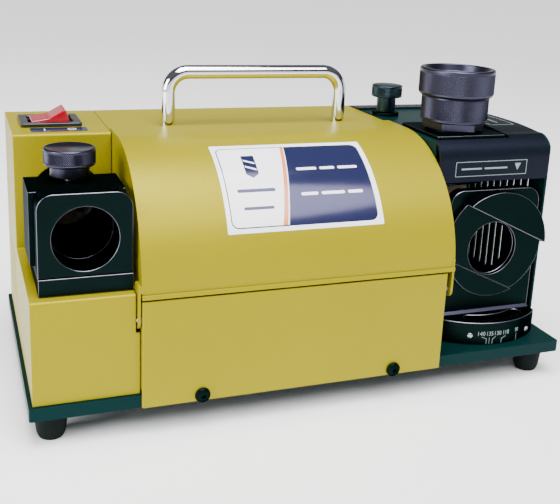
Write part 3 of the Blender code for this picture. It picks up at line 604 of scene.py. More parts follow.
@dataclass
class Knurl(NodeShape):
    """Staggered rows of small pyramids round a drum that stands on the Z axis."""

    name: str = "diamond_knurl"
    sockets: tuple[tuple[str, str], ...] = (
        ("Radius", "NodeSocketFloat"), ("Start", "NodeSocketFloat"), ("Rows", "NodeSocketInt"),
        ("Around", "NodeSocketInt"), ("Pitch", "NodeSocketFloat"), ("Depth", "NodeSocketFloat"),
    )

    def grow(self, graph: Graph, source: bpy.types.Node) -> bpy.types.NodeSocket:
        """Place one four-sided cone per crossing of row and column."""
        give = source.outputs
        index = graph.add("GeometryNodeInputIndex")
        count = graph.maths("MULTIPLY", give["Rows"], give["Around"])
        row = graph.maths("FLOOR", graph.maths("DIVIDE", index, give["Around"]))
        stagger = graph.maths("MULTIPLY", graph.maths("MODULO", row, 2.0), 0.5)
        column = graph.maths("ADD", graph.maths("MODULO", index, give["Around"]), stagger)
        step = graph.maths("DIVIDE", 2 * math.pi, give["Around"])
        angle = graph.maths("MULTIPLY", column, step)
        rise = graph.maths("MULTIPLY", give["Pitch"], 0.5)
        position = graph.add("ShaderNodeCombineXYZ", {
            0: graph.maths("MULTIPLY", graph.maths("COSINE", angle), give["Radius"]),
            1: graph.maths("MULTIPLY", graph.maths("SINE", angle), give["Radius"]),
            2: graph.maths("MULTIPLY_ADD", row, rise, give["Start"]),
        })
        points = graph.add("GeometryNodePoints", {"Count": count, "Position": position})
        tooth = graph.add("GeometryNodeMeshCone", {
            "Vertices": 4, "Radius Top": 0.0, "Radius Bottom": 0.5, "Depth": 1.0,
        }, fill_type="NGON")
        width = graph.maths("MULTIPLY", step, give["Radius"])
        placed = graph.add("GeometryNodeInstanceOnPoints", {
            "Points": points, "Instance": tooth.outputs["Mesh"],
            "Rotation": graph.add("ShaderNodeCombineXYZ", {1: math.pi / 2, 2: angle}),
            "Scale": graph.add("ShaderNodeCombineXYZ", {0: give["Pitch"], 1: width, 2: give["Depth"]}),
        })
        return placed.outputs[0]

    def wrap(self, finish: Finish, centre: tuple[float, float], radius: float, low: float, high: float,
             pitch: float = 1.5, depth: float = 0.32) -> bpy.types.Mesh:
        """Knurl a drum.

        Args:
            finish: Surface of the teeth.
            centre: X and Y of the drum's axis.
            radius: Radius the teeth stand on.
            low: Height where the knurl starts.
            high: Height where it ends.
            pitch: Height of one tooth; the real 0.8 mm pitch is drawn coarser to read as diamonds.
            depth: Height of a tooth above the drum.

        Returns:
            The teeth as mesh.
        """
        around = round(2 * math.pi * radius / (pitch * 0.78))
        rows = int((high - low - pitch) / (pitch / 2)) + 1
        margin = (high - low - (rows - 1) * pitch / 2) / 2
        mesh = self.bake(
            finish, radius=radius * MM, start=(low + margin) * MM, rows=rows, around=around,
            pitch=pitch * MM, depth=depth * MM,
        )
        mesh.transform(Matrix.Translation(place(*centre, 0)))
        return mesh


@dataclass
class Scatter(NodeShape):
    """Copies of one small part on marked points, each facing along the point's own direction."""

    name: str = "scattered_parts"
    sockets: tuple[tuple[str, str], ...] = (
        ("Geometry", "NodeSocketGeometry"), ("Part", "NodeSocketObject"),
    )

    def grow(self, graph: Graph, source: bpy.types.Node) -> bpy.types.NodeSocket:
        """Instance the part on every point and turn its Z to the stored direction."""
        facing = graph.add("GeometryNodeInputNamedAttribute", {"Name": "facing"}, data_type="FLOAT_VECTOR")
        turn = graph.add("FunctionNodeAlignRotationToVector", {"Vector": facing}, axis="Z")
        part = graph.add("GeometryNodeObjectInfo", {"Object": source.outputs["Part"]})
        placed = graph.add("GeometryNodeInstanceOnPoints", {
            "Points": source.outputs["Geometry"], "Instance": part.outputs["Geometry"], "Rotation": turn,
        })
        return placed.outputs[0]

    def set_out(self, finish: Finish, part: Solid, spots: Sequence[tuple[Vector, Vector]]) -> bpy.types.Mesh:
        """Copy a part to several spots.

        Args:
            finish: Surface of the copies.
            part: The part, drawn round the Z axis with its seat at machine height 0.
            spots: Placed point and outward direction of each copy.

        Returns:
            All copies as one mesh.
        """
        bmesh.ops.translate(part.bm, verts=part.bm.verts[:], vec=-place(0, 0, 0))
        model = part.loose()
        model.data.shade_smooth()
        model.data.set_sharp_from_angle(angle=math.radians(35))
        base = bpy.data.meshes.new("spots")
        base.from_pydata([spot for spot, _ in spots], [], [])
        facing = base.attributes.new("facing", "FLOAT_VECTOR", "POINT")
        for item, (_, direction) in zip(facing.data, spots):
            item.vector = direction
        mesh = self.bake(finish, base, part=model)
        discard(model)
        part.bm.free()
        return mesh


KNURL = Knurl()
SCATTER = Scatter()


def button_head(radius: float, height: float, socket: float) -> Solid:
    """Domed screw head with a hexagon socket, seat at height 0."""
    dome = [(0, height)] + [(radius * math.sin(a), height * (0.25 + 0.75 * math.cos(a)))
                            for a in (math.radians(10 + 10 * i) for i in range(9))]
    dome += [(radius, 0), (0, 0)]
    head = Solid().lathe(dome[::-1], "Z", (0, 0), 32)
    if socket:
        head.minus(Solid().prism(arc((0, 0), socket, 0, 300, 5), "Z", height * 0.4, height + 2))
    return head


def wrapped(shapes: Iterable[Outline], to_point: Laying, layer: tuple[float, float],
            step: float = 1.5, across: int = 1) -> Solid:
    """Thin closed patches laid on a curved face.

    Args:
        shapes: Outlines in the face's own flat coordinates.
        to_point: Turns flat coordinates and height above the face into a placed point.
        layer: Lower and upper height of the patch above the face.
        step: Distance between the cuts that let a patch bend.
        across: 0 to cut across the first coordinate, 1 to cut across the second.

    Returns:
        The patches as one solid.
    """
    made = Solid()
    for outline in shapes:
        patch = bmesh.new()
        lower = [patch.verts.new((u, v, layer[0])) for u, v in outline]
        upper = [patch.verts.new((u, v, layer[1])) for u, v in outline]
        patch.faces.new(lower)
        patch.faces.new(list(reversed(upper)))
        for i in range(len(outline)):
            j = (i + 1) % len(outline)
            patch.faces.new((lower[i], upper[i], upper[j], lower[j]))
        values = [point[across] for point in outline]
        normal = Vector((0, 1, 0)) if across else Vector((1, 0, 0))
        cut = min(values) + step
        while cut < max(values) - 0.05:
            bmesh.ops.bisect_plane(
                patch, geom=patch.verts[:] + patch.edges[:] + patch.faces[:], plane_co=normal * cut,
                plane_no=normal, dist=1e-5,
            )
            cut += step
        bmesh.ops.triangulate(patch, faces=[f for f in patch.faces if len(f.verts) > 4])
        for vertex in patch.verts:
            vertex.co = to_point(*vertex.co)
        bmesh.ops.recalc_face_normals(patch, faces=patch.faces[:])
        mesh = bpy.data.meshes.new("patch")
        patch.to_mesh(mesh)
        patch.free()
        made.add(mesh)
    return made


def stroke(points: Outline, width: float) -> Outline:
    """Outline of a drawn line of even width."""
    left, right = [], []
    for i, point in enumerate(points):
        here = Vector(point)
        back = (here - Vector(points[i - 1])).normalized() if i else None
        on = (Vector(points[i + 1]) - here).normalized() if i + 1 < len(points) else None
        heading = ((back or on) + (on or back)).normalized()
        side = Vector((-heading.y, heading.x)) * (width / 2)
        if back and on:
            side /= max(0.4, heading.dot(on))
        left.append(tuple(here + side))
        right.append(tuple(here - side))
    return right + left[::-1]


# ---------------------------------------------------------------- base

@dataclass
class Base:
    """Steel base plate on four rubber feet."""

    size: tuple[float, float, float] = (320.0, REAR, 7.1)
    foot_radius: float = 9.0
    foot_height: float = 16.0
    inset: tuple[float, float] = (12.0, 14.0)

    def build(self) -> None:
        """Plate, feet and foot screws."""
        width, depth, thick = self.size
        plate = Solid().prism(round_box(0, width, 0, depth, 1.2), "Z", 0, thick)
        plate.minus(Solid().rod("Z", TURRET_PIVOT, 4.3, -1, 9).rod("Z", TURRET_CLAMP, 3.5, -1, 9))
        plate.minus(Solid().rods("Y", PANEL_SCREWS, PANEL_HOLE_RADIUS, -2, 9, 24))
        plate.refine("base_plate", ROOT, BLACK_SMOOTH, Edge(0.7))
        feet = Solid()
        spots = []
        low, radius = -self.foot_height, self.foot_radius
        for x in (self.inset[0], width - self.inset[0]):
            for y in (self.inset[1], depth - self.inset[1]):
                profile = fillet([
                    (3.4, -10.5), (3.4, low), (6.4, low, 1.2), (7.7, low + 3.4, 2.0), (radius, -0.3, 0.5),
                    (2.2, -0.3), (2.2, -10.5),
                ])
                feet.lathe(profile, "Z", (x, y), 48)
                spots.append((place(x, y, -10.6), Vector((0, 0, -1))))
        names = [f"foot_{end}_{side}" for end in ("front", "rear") for side in ("left", "right")]
        feet.piece("rubber_feet", ROOT, RUBBER, names)
        screws = Solid().add(SCATTER.set_out(STEEL, button_head(3.2, 1.8, 1.3), spots))
        screws.piece("foot_screws", ROOT, STEEL)
        log.info("base: plate, four feet with screws")


# ---------------------------------------------------------------- left casing

@dataclass
class LeftCasing:
    """Folded yellow casing, stepped down in front, with the rocker switch on top."""

    x: tuple[float, float] = (2.1, 56.6)
    front: float = 1.9
    rear: float = REAR
    ledge: float = 63.3
    recess: float = 87.2
    top: float = TOP
    floor: float = SHEET_FLOOR
    sheet: float = 1.5
    fold: float = 1.6

    def outline(self, inset: float, floor: float, fold: float) -> Outline:
        """Side view of the casing, drawn in by an inset."""
        front, step, rear = self.front + inset, self.recess + inset, self.rear - inset
        top, ledge = self.top - inset, self.ledge - inset
        return fillet([
            (front, floor), (rear, floor), (rear, top, fold), (step, top, fold), (step, ledge, 0.4),
            (front, ledge, fold),
        ])

    def build(self) -> None:
        """Casing, switch and its label."""
        left, right = self.x
        casing = Solid().prism(self.outline(0, self.floor, self.fold), "X", left, right)
        casing.minus(Solid().prism(self.outline(self.sheet, 0, 0.4), "X", left + self.sheet, right + 5))
        casing.minus(Solid().rod("Y", THINNING_BORE, 20.3, self.recess - 3, self.recess + 4, 96))
        casing.minus(Solid().box((54.4, right + 5), (-5, 10), (42.0, self.ledge + 0.5)))
        casing.minus(Solid().box((11.0, 40.0), (108.7, 134.3), (self.top - 5, self.top + 5)))
        slits = Solid()
        for i in range(5):
            slits.prism(round_box(100 + 9 * i, 102.4 + 9 * i, 24, 58, 1.15), "X", left - 2, left + 3)
        casing.minus(slits)
        casing.refine("left_casing", ROOT, YELLOW, Edge(0.5, 3, 50))
        self.label()
        self.switch()
        log.info("left casing: folded sheet, switch and label")

    def label(self) -> None:
        """Dark strip before the switch with plain on and off signs."""
        def lay(u: float, v: float, h: float) -> Vector:
            """Point above the casing's top."""
            return place(u, v, self.top + h)

        strip = wrapped([round_box(12.6, 44.6, 93.0, 104.6, 1.2)], lay, (0.02, 0.12), 50)
        strip.piece("switch_label", ROOT, INK)
        low, high = self.top + 0.1, self.top + 0.2
        ring = Solid().lathe([(1.9, low), (2.5, low), (2.5, high), (1.9, high)], "Z", (36.0, 98.8), 40)
        bar = wrapped([round_box(20.2, 20.9, 96.4, 101.2, 0.3)], lay, (0.1, 0.2), 50)
        ring.join(bar).piece("switch_signs", ROOT, FILM)

    def switch(self) -> None:
        """Bezel with its snap-in body, and the red rocker."""
        top = self.top + 0.3
        bezel = Solid().prism(round_box(8, 43, 106, 137, 1.5), "Z", top, top + 2.0)
        bezel.minus(Solid().prism(round_box(12.5, 38.5, 111, 132, 0.8), "Z", top - 5, top + 6))
        body = Solid().box((11.3, 39.7), (109, 134), (108, top + 0.2))
        body.minus(Solid().box((12.5, 38.5), (111, 132), (112, top + 6)))
        bezel.join(body).piece("switch_bezel", ROOT, PLASTIC, ["switch_frame"], Edge(0.45, 3, 50))
        outline = fillet([
            (15.5, 122.0), (35.5, 122.0), (36.6, 131.5), (34.3, 138.8, 0.7), (33.0, 138.6, 0.5),
            (24.6, 133.8, 9.0), (14.4, 132.4, 0.8),
        ], 8)
        rocker = Solid().prism(outline, "Y", 111.5, 131.5)
        rocker.piece("rocker_lens", "rocker", LENS, ["switch_rocker"], Edge(0.5, 3, 50))


# ---------------------------------------------------------------- thinning port

@dataclass
class ThinningPort:
    """Bored blocks on the ledge that guide the chuck to the thinning wheel, with the depth knob."""

    bore: tuple[float, float] = THINNING_BORE
    radius: float = PORT_RADIUS
    knob: tuple[float, float] = (28.4, 50.0)

    def build(self) -> None:
        """Foot, both blocks, tube and knob."""
        # These edges carry painted highlight in a lighter steel.
        highlit_edges = Edge(0.25, 2, 45, highlighted=True)
        Solid().box((7, 54.3), (7.5, 60), (63.6, 72.8)).refine("port_foot", ROOT, OXIDE, highlit_edges)
        outline = fillet([(7, 73.1), (54.3, 73.1), (54.3, 116, 8.5), (7, 116, 8.5)], 12)
        block = Solid().prism(outline, "Y", 8.5, 27.0)
        block.minus(Solid().rod("Y", self.bore, self.radius, 0, 35, 112))
        block.refine("port_block", ROOT, OXIDE, highlit_edges)
        guide = Solid().box((4.8, 54.3), (28, 60), (73.1, 112.4))
        guide.minus(Solid().rod("Z", self.knob, 3.3, 105, 120, 32))
        guide.minus(Solid().rod("Y", self.bore, self.radius, 20, 70, 112))
        guide.refine("guide_block", ROOT, OXIDE, highlit_edges)
        radius = self.radius
        wall = [(radius, 60.3), (19.8, 60.3), (19.8, 88.9), (radius, 88.9)]
        tube = Solid().lathe(wall, "Y", self.bore, 96)
        tube.minus(Solid().box((0, 60), (59, 90), (60, 73.3)))
        tube.refine("guide_tube", ROOT, OXIDE)
        self.turn_knob()
        log.info("thinning port: blocks, tube, depth knob")

    def turn_knob(self) -> None:
        """Knurled head on a smooth neck, hollow where the spindle enters."""
        profile = fillet([
            (0, 123.5), (3.3, 123.5), (3.3, 115.0), (10.4, 115.0, 0.5), (10.4, 121.0), (13.6, 121.0, 0.8),
            (13.6, 122.4), (13.35, 122.6), (13.35, 128.7), (13.6, 128.9), (13.6, 130.3, 0.9),
            (12.0, 130.3), (11.6, 130.05), (0, 130.05),
        ])
        knob = Solid().lathe(profile, "Z", self.knob, 96)
        knob.add(KNURL.wrap(KNURLED, self.knob, 13.35, 122.5, 128.8, 1.25, 0.3))
        knob.refine("thinning_knob", "thinning_knob", KNURLED)


# ---------------------------------------------------------------- middle

@dataclass
class Middle:
    """Top cover with its handle, tilting hood, front panel and rear gland."""

    x: tuple[float, float] = (57.0, 238.9)
    arc_centre: tuple[float, float] = (69.5, 61.0)
    radius: float = 70.3
    thick: float = 1.2
    rear: float = 94.3
    bottom: float = 60.6
    pivot: tuple[float, float] = (3.6, 48.6)
    panel: tuple[float, float] = (57.0, 234.7)
    legs: tuple[float, float] = (93.4, 205.5)
    leg_y: float = 102.5
    bar: float = 4.2

    def build(self) -> None:
        """All pieces of the middle section."""
        self.cover()
        self.handle()
        self.hood()
        self.label()
        self.front_panel()
        log.info("middle: cover, handle, hood with label, front panel")

    def cover(self) -> None:
        """Fixed sheet over the back with the rear wall, and the cable gland."""
        front, sheet = 91.5, 1.5
        inner, under = REAR - sheet, TOP - sheet
        outline = fillet([
            (front, TOP, 1.2), (REAR, TOP, 1.6), (REAR, SHEET_FLOOR), (inner, SHEET_FLOOR),
            (inner, under, 0.3), (front + sheet, under), (front + sheet, 120.0), (front, 120.0),
        ])
        cover = Solid().prism(outline, "X", *self.x)
        for x in self.legs:
            cover.minus(Solid().rod("Z", (x, self.leg_y), self.bar + 0.3, 120, 140, 40))
        cover.minus(Solid().rod("Y", GLAND, 7.0, 155, 165, 48))
        cover.refine("top_cover", ROOT, YELLOW, Edge(0.35, 2, 50))
        face = 161.0
        profile = fillet([
            (3.8, face - 8), (6.7, face - 8), (6.7, face), (9.0, face, 0.4), (9.0, face + 2.6, 0.8),
            (7.0, face + 4.2, 0.8), (3.8, face + 4.2, 0.6),
        ])
        Solid().lathe(profile, "Y", GLAND, 64).refine("cable_gland", ROOT, RUBBER)

    def handle(self) -> None:
        """Bent chrome bar."""
        left, right = self.legs
        foot, top, bend = 119.8, 162.3, 12.0
        route = [(left, foot)] + arc((left + bend, top - bend), bend, 180, 90, 20)
        route += arc((right - bend, top - bend), bend, 90, 0, 20) + [(right, foot)]
        sides = 48
        section = arc((0, 0), self.bar, 0, 360 * (sides - 1) / sides, sides - 1)
        made = Solid()
        rings = []
        for i, (x, z) in enumerate(route):
            before, after = route[max(i - 1, 0)], route[min(i + 1, len(route) - 1)]
            heading = Vector((after[0] - before[0], after[1] - before[1])).normalized()
            rings.append([
                made.bm.verts.new(place(x - heading.y * u, self.leg_y + v, z + heading.x * u))
                for u, v in section
            ])
        made.bm.faces.new(rings[0])
        made.bm.faces.new(rings[-1])
        for near, far in zip(rings, rings[1:]):
            for k in range(sides):
                n = (k + 1) % sides
                made.bm.faces.new((near[k], near[n], far[n], far[k]))
        bmesh.ops.recalc_face_normals(made.bm, faces=made.bm.faces[:])
        made.refine("carry_handle", ROOT, CHROME)

    def hood(self) -> None:
        """Curved sheet with a lip, end walls and pivot ears."""
        top = self.arc_centre[1] + self.radius
        front = self.arc_centre[0] - self.radius
        skin = [(self.rear, top)] + arc(self.arc_centre, self.radius, 90, 175.5, 72)
        skin += fillet([
            (front - 0.8, 65.7, 0.6), (front - 0.8, self.bottom, 0.3),
            (front + self.thick, self.bottom, 0.3),
        ], 3)
        skin += arc(self.arc_centre, self.radius - self.thick, 180, 90, 72)
        skin.append((self.rear, top - self.thick))
        made = Solid().prism(skin, "X", *self.x)
        mid = self.radius - self.thick / 2
        wall = [(91.0, self.arc_centre[1] + mid)] + arc(self.arc_centre, mid, 90, 179.5, 72)
        wall += [(wall[-1][0], 61.3), (91.0, 61.3)]
        made.prism(wall, "X", self.x[0] + 0.02, 58.4).prism(wall, "X", 232.6, 233.8)
        y = self.pivot[0]
        for start, end, hole in ((55.0, 56.3, 54), (237.6, self.x[1] - 0.02, 237)):
            outline = arc(self.pivot, 4.5, 180, 360, 24) + [(y + 4.5, 68.0), (y - 4.5, 68.0)]
            ear = Solid().prism(outline, "X", start, end)
            ear.minus(Solid().rod("X", self.pivot, PIN_HOLE_RADIUS, hole, hole + 3, 32))
            made.join(ear)
        made.box((55.02, 58.2), (y - 4.48, y + 4.48), (64.2, 67.98))
        made.piece("hood_fine", "hood", YELLOW, ["arc_hood"], Edge(0.3, 2, 50))

    def on_hood(self, x: float, angle: float, height: float) -> Vector:
        """Point above the hood's curve, by its angle in degrees from the back."""
        y, z = self.arc_centre
        reach, turn = self.radius + height, math.radians(angle)
        return place(x, y + reach * math.cos(turn), z + reach * math.sin(turn))

    def label(self) -> None:
        """Two-tone plate: pale left part with a plain sign, dark right part, slanting stripe."""
        stretch = math.degrees(1 / self.radius)
        top, bottom = 110.6, 152.8

        def patch(name: str, shapes: list[Outline], low: float, high: float, finish: Finish) -> None:
            """Lay one colour of the label on the hood."""
            wrapped(shapes, self.on_hood, (low, high)).piece(name, "hood", finish, smooth=25)

        def edge(offset: float) -> Outline:
            """Right-leaning curve from the top of the label to its bottom."""
            bow = [top + (bottom - top) * i / 14 for i in range(15)]
            return [(146.8 - 0.204 * (a - 110) + offset * (1 + 0.012 * (a - 110)), a) for a in bow]

        def panel(x0: float, x1: float, a0: float, a1: float, r: float) -> Outline:
            """Round-cornered panel; angles are stretched so that the corners come out round."""
            return [(u, v * stretch) for u, v in round_box(x0, x1, a0 / stretch, a1 / stretch, r)]

        patch("label_film", [panel(103.5, 194.5, 107.6, 155.4, 0.6)], 0.03, 0.15, FILM)
        patch("label_dark", [panel(105.9, 191.4, 110.1, 153.3, 4.2)], 0.15, 0.18, INK)
        corners = [(u, v / stretch) for u, v in edge(-2.2)]
        corners += [(106.5, bottom / stretch, 3.6), (106.5, top / stretch, 3.6)]
        patch("label_pale", [[(u, v * stretch) for u, v in fillet(corners)]], 0.18, 0.21, FILM)
        patch("label_stripe", [edge(-2.2) + edge(-0.4)[::-1]], 0.18, 0.21, ORANGE)
        patch("label_hairline", [edge(-0.4) + edge(0.1)[::-1]], 0.18, 0.21, FILM)
        tip = [(119.2, 116.0), (126.6, 116.0), (126.6, 127.4), (122.9, 129.6), (119.2, 127.4)]
        flutes = [
            [(119.9, 118.6), (125.9, 120.6), (125.9, 121.6), (119.9, 119.6)],
            [(119.9, 122.4), (125.9, 124.4), (125.9, 125.4), (119.9, 123.4)],
        ]
        rules = [panel(112.0, 133.6, 135.2, 136.9, 0.8), panel(114.0, 131.0, 143.8, 145.2, 0.7)]
        patch("label_sign", [tip, *rules], 0.21, 0.24, INK)
        patch("label_sign_flutes", flutes, 0.24, 0.26, FILM)
        rows = {125.6: ((149, 161), (163, 172), (174, 186)), 139.0: ((148, 158), (160, 174), (176, 185))}
        lines = [panel(x0, x1, a - 0.75, a + 0.75, 0.8) for a, spans in rows.items() for x0, x1 in spans]
        patch("label_lines", lines, 0.18, 0.21, FILM)

    def front_panel(self) -> None:
        """Panel with folded ends, and its two button-head screws."""
        left, right = self.panel
        outline = fillet([
            (left, -1.5, 1.0), (right, -1.5, 1.0), (right, 9.0), (right - 1.2, 9.0), (right - 1.2, -0.3),
            (left + 1.2, -0.3), (left + 1.2, 9.0), (left, 9.0),
        ], 4)
        panel = Solid().prism(outline, "Z", 0.4, 59.6)
        panel.minus(Solid().box((left - 5, right + 5), (-0.29, 20), (-5, 10)))
        panel.minus(Solid().box((left - 5, right + 5), (-0.29, 20), (57, 70)))
        holes = Solid()
        for start, end in ((left - 2, left + 4), (right - 4, right + 2)):
            holes.rod("X", self.pivot, PIN_HOLE_RADIUS, start, end, 32)
        panel.minus(holes)
        for spot in PANEL_SCREWS:
            panel.minus(Solid().rod("Y", spot, PANEL_HOLE_RADIUS, -5, 3, 24))
        panel.refine("front_panel", ROOT, YELLOW, Edge(0.3, 2, 50))
        spots = [(place(x, -1.8, z), Vector((0, -1, 0))) for x, z in PANEL_SCREWS]
        screws = Solid().add(SCATTER.set_out(OXIDE, button_head(4.2, 2.2, 1.5), spots))
        screws.rods("Y", PANEL_SCREWS, 1.7, -1.9, 7.5, 24)
        screws.piece("panel_screws", ROOT, OXIDE, ["panel_screw_left", "panel_screw_right"])


# ---------------------------------------------------------------- right housing

@dataclass
class RightHousing:
    """Black housing with a crowned top, a well for the setting device and a slotted side."""

    x: tuple[float, float] = (239.2, 315.9)
    side: tuple[float, float] = (316.2, 317.9)
    front: float = 25.7
    rear: float = REAR
    floor: float = SHEET_FLOOR
    window: float = 106.0
    sheet: float = 1.5
    ridge: float = 72.0
    peak: float = 133.6

    def drop(self, y: float) -> float:
        """How far the crown lies below its highest line, the ridge."""
        if y < self.ridge:
            return 2.1 * ((y - self.ridge) / 36.0) ** 2
        return 4.0 * ((y - self.ridge) / (self.rear - self.ridge)) ** 2

    def crown(self, inset: float) -> Outline:
        """Top and front edge, from the rear corner round the shoulder."""
        rear = self.rear - inset
        ys = [rear + (self.ridge - rear) * i / 24 for i in range(25)]
        ys += [self.ridge - 3.3 * i for i in range(1, 10)]
        shoulder = arc((39.0, 119.0), 13.3 - inset, 97, 180, 20)
        return [(y, self.peak - inset - self.drop(y)) for y in ys] + shoulder

    def build(self) -> None:
        """Housing, side cover, louvres, labels and screws."""
        outline = [(self.rear - self.sheet, self.floor), (self.rear, self.floor)] + self.crown(0)
        outline += [(self.front, self.window), (self.front + self.sheet, self.window)]
        outline += self.crown(self.sheet)[::-1]
        housing = Solid().prism(outline, "X", *self.x)
        housing.minus(Solid().box((self.x[0] - 5, 291.0), (33, 140.5), (120, 140)))
        housing.refine("right_housing", ROOT, BLACK, Edge(0.5, 3, 50))
        front = 27.2
        outline = [(front, self.floor), (self.rear, self.floor)]
        outline += [point for point in self.crown(0) if point[0] > front] + [(front, 124.0)]
        side = Solid().prism(outline, "X", *self.side)
        slits = Solid()
        for i in range(11):
            y = 45.0 + 7.4 * i
            slits.prism(round_box(y - 1, y + 1, 28, 103, 0.95), "X", self.side[0] - 2, self.side[1] + 2)
        side.minus(slits)
        side.refine("side_cover", ROOT, BLACK_SMOOTH, Edge(0.4, 2, 50))
        out = Vector((1, 0, 0))
        spots = [(place(self.side[1], y, z), out) for y, z in ((34, 14), (154, 14), (154, 122), (36, 118))]
        screws = Solid().add(SCATTER.set_out(OXIDE, button_head(3.0, 1.7, 1.1), spots))
        screws.piece("side_screws", ROOT, OXIDE)
        self.labels()
        log.info("right housing: crowned top, slotted side, screws")

    def labels(self) -> None:
        """Thin framed field with a pointer on the band, and a framed field on the top rim."""
        def on_band(u: float, v: float, h: float) -> Vector:
            """Point before the upright band over the window."""
            return place(u, self.front - h, v)

        def on_rim(u: float, v: float, h: float) -> Vector:
            """Point above the crown."""
            return place(u, v, self.peak - self.drop(v) + h)

        def ring(u0: float, u1: float, v0: float, v1: float, w: float) -> list[Outline]:
            """Four bars of a thin frame."""
            return [
                rectangle(u0, u1, v0, v0 + w), rectangle(u0, u1, v1 - w, v1),
                rectangle(u0, u0 + w, v0 + w, v1 - w), rectangle(u1 - w, u1, v0 + w, v1 - w),
            ]

        band = [*ring(250, 300, 109.5, 118.6, 0.35), [(291.2, 116.6), (295.6, 116.6), (293.4, 112.2)]]
        band += [rectangle(254, 268, 113.6, 114.6), rectangle(270, 286, 113.6, 114.6)]
        wrapped(band, on_band, (0.02, 0.1), 50).piece("band_marking", ROOT, MARKING)
        rim = ring(294, 312, 60, 128, 0.5)
        rim += [rectangle(302.5, 303.5, v0, v1) for v0, v1 in ((66, 84), (88, 104), (108, 120))]
        wrapped(rim, on_rim, (0.02, 0.12), 4).piece("rim_marking", ROOT, MARKING)


@dataclass
class SettingDevice:
    """Seat for the chuck in the housing's well, with the knob of the drill stop."""

    chuck: tuple[float, float] = CHUCK_AXIS
    stop: tuple[float, float] = (249.2, 120.0)

    def build(self) -> None:
        """Seat plate, pad, collar and stop knob."""
        outline = fillet([
            (239.6, 105), (241.1, 105), (241.1, 128.0, 0.4), (290.5, 128.0), (290.5, 130.2),
            (239.6, 130.2, 1.2),
        ], 4)
        seat = Solid().prism(outline, "Y", 33.4, 140.0)
        seat.minus(Solid().rod("Z", self.chuck, 17.3, 120, 140, 96).rod("Z", self.stop, 2.8, 120, 140, 32))
        seat.refine("seat_plate", ROOT, BLACK_SMOOTH, Edge(0.3, 2, 50))
        pad = Solid().prism(round_box(241.5, 288.5, 35, 81, 0.6), "Z", 130.5, 132.4)
        pad.minus(Solid().rod("Z", self.chuck, 17.3, 120, 140, 96))
        # The pad's edges carry painted highlight in a lighter steel.
        pad.refine("seat_pad", ROOT, OXIDE, Edge(0.25, 2, 50, True))
        sleeve = Solid().lathe([(17.3, 101.0), (20.0, 101.0), (20.0, 127.7), (17.3, 127.7)], "Z", self.chuck)
        sleeve.refine("seat_sleeve", ROOT, OXIDE)
        collar = fillet([(2.8, 130.5), (9.0, 130.5), (9.0, 132.3, 0.5), (2.8, 132.3)])
        Solid().lathe(collar, "Z", self.stop, 64).refine("stop_collar", ROOT, OXIDE)
        profile = fillet([
            (0, 92.0), (2.5, 92.0), (2.5, 132.7), (6.4, 132.7, 0.4), (6.4, 142.8), (10.3, 142.8, 0.7),
            (10.3, 143.9), (10.1, 144.0), (10.1, 149.6), (10.3, 149.7), (10.3, 150.8, 0.7), (0, 150.8),
        ])
        knob = Solid().lathe(profile, "Z", self.stop, 80)
        knob.add(KNURL.wrap(TURNED_DARK, self.stop, 10.1, 144.0, 149.6, 1.2, 0.22))
        knob.refine("stop_knob", "stop_knob", TURNED_DARK)
        log.info("setting device: seat, pad, stop knob")


@dataclass
class Chuck:
    """Collet chuck, nose down in its seat, with a hexagon, a knurled band and a knurled ring."""

    centre: tuple[float, float] = CHUCK_AXIS
    band: tuple[float, float] = (138.3, 153.4)
    ring: tuple[float, float] = (153.8, 170.5)
    band_radius: float = 20.5
    ring_radius: float = 22.9

    def build(self) -> None:
        """Body, hexagon, nut, collet and ring."""
        low, high = self.band
        r = self.band_radius
        body = Solid().lathe(fillet([
            (8.0, 112.5), (12.6, 112.5), (12.6, low), (r + 0.2, low, 0.6), (r + 0.2, low + 1.1),
            (r, low + 1.2), (r, high - 0.5), (r - 0.3, high), (12.0, high), (12.0, 165.0, 0.4),
            (8.0, 165.0, 0.4),
        ]), "Z", self.centre, 112)
        body.add(KNURL.wrap(KNURLED, self.centre, r, low + 1.2, high - 0.4))
        body.refine("chuck_body", "chuck", KNURLED)
        hexagon = Solid().prism(arc(self.centre, 19.63, 40.5, 340.5, 5), "Z", 133.2, 138.0)
        hexagon.minus(Solid().rod("Z", self.centre, 12.9, 125, 145, 64))
        hexagon.refine("chuck_hex", "chuck", KNURLED, Edge(0.35, 2, 40))
        nut = fillet([
            (8.0, 104.0), (14.4, 104.0), (16.9, 107.5, 1.0), (16.9, 132.9, 0.3), (12.9, 132.9),
            (12.9, 111.5), (8.0, 111.5),
        ])
        Solid().lathe(nut, "Z", self.centre, 96).refine("chuck_nut", "chuck", OXIDE)
        wall = [(4.5, 104.6), (6.4, 104.6), (7.7, 108.0), (7.7, 140.0), (4.5, 140.0)]
        collet = Solid().lathe(wall, "Z", self.centre, 48)
        slots = Solid()
        for k in range(3):
            turn = math.radians(60 * k + 15)
            across = Vector((-math.sin(turn), math.cos(turn))) * 0.35
            reach = Vector((math.cos(turn), math.sin(turn))) * 9
            near, far = Vector(self.centre) - reach, Vector(self.centre) + reach
            corners = [near - across, far - across, far + across, near + across]
            slots.prism([tuple(c) for c in corners], "Z", 103.0 - 0.3 * k, 128.0 + 0.3 * k)
        collet.minus(slots)
        collet.refine("collet", "chuck", STEEL)
        low, high = self.ring
        r = self.ring_radius
        cap = Solid().lathe(fillet([
            (12.3, low), (r - 0.9, low), (r, low + 1.0, 0.6), (r, high - 2.2), (r + 0.25, high - 2.0),
            (r + 0.25, high - 0.6, 0.8), (r - 0.5, high, 0.8), (r - 2.7, high, 0.6),
            (r - 3.9, high - 4.5, 0.8), (12.3, high - 4.5, 0.4),
        ]), "Z", self.centre, 112)
        cap.add(KNURL.wrap(KNURLED, self.centre, r, low + 1.2, high - 2.2))
        cap.refine("chuck_ring", "chuck_ring", KNURLED)
        log.info("chuck: knurled body and ring, hexagon, nut, collet")


# ---------------------------------------------------------------- point port

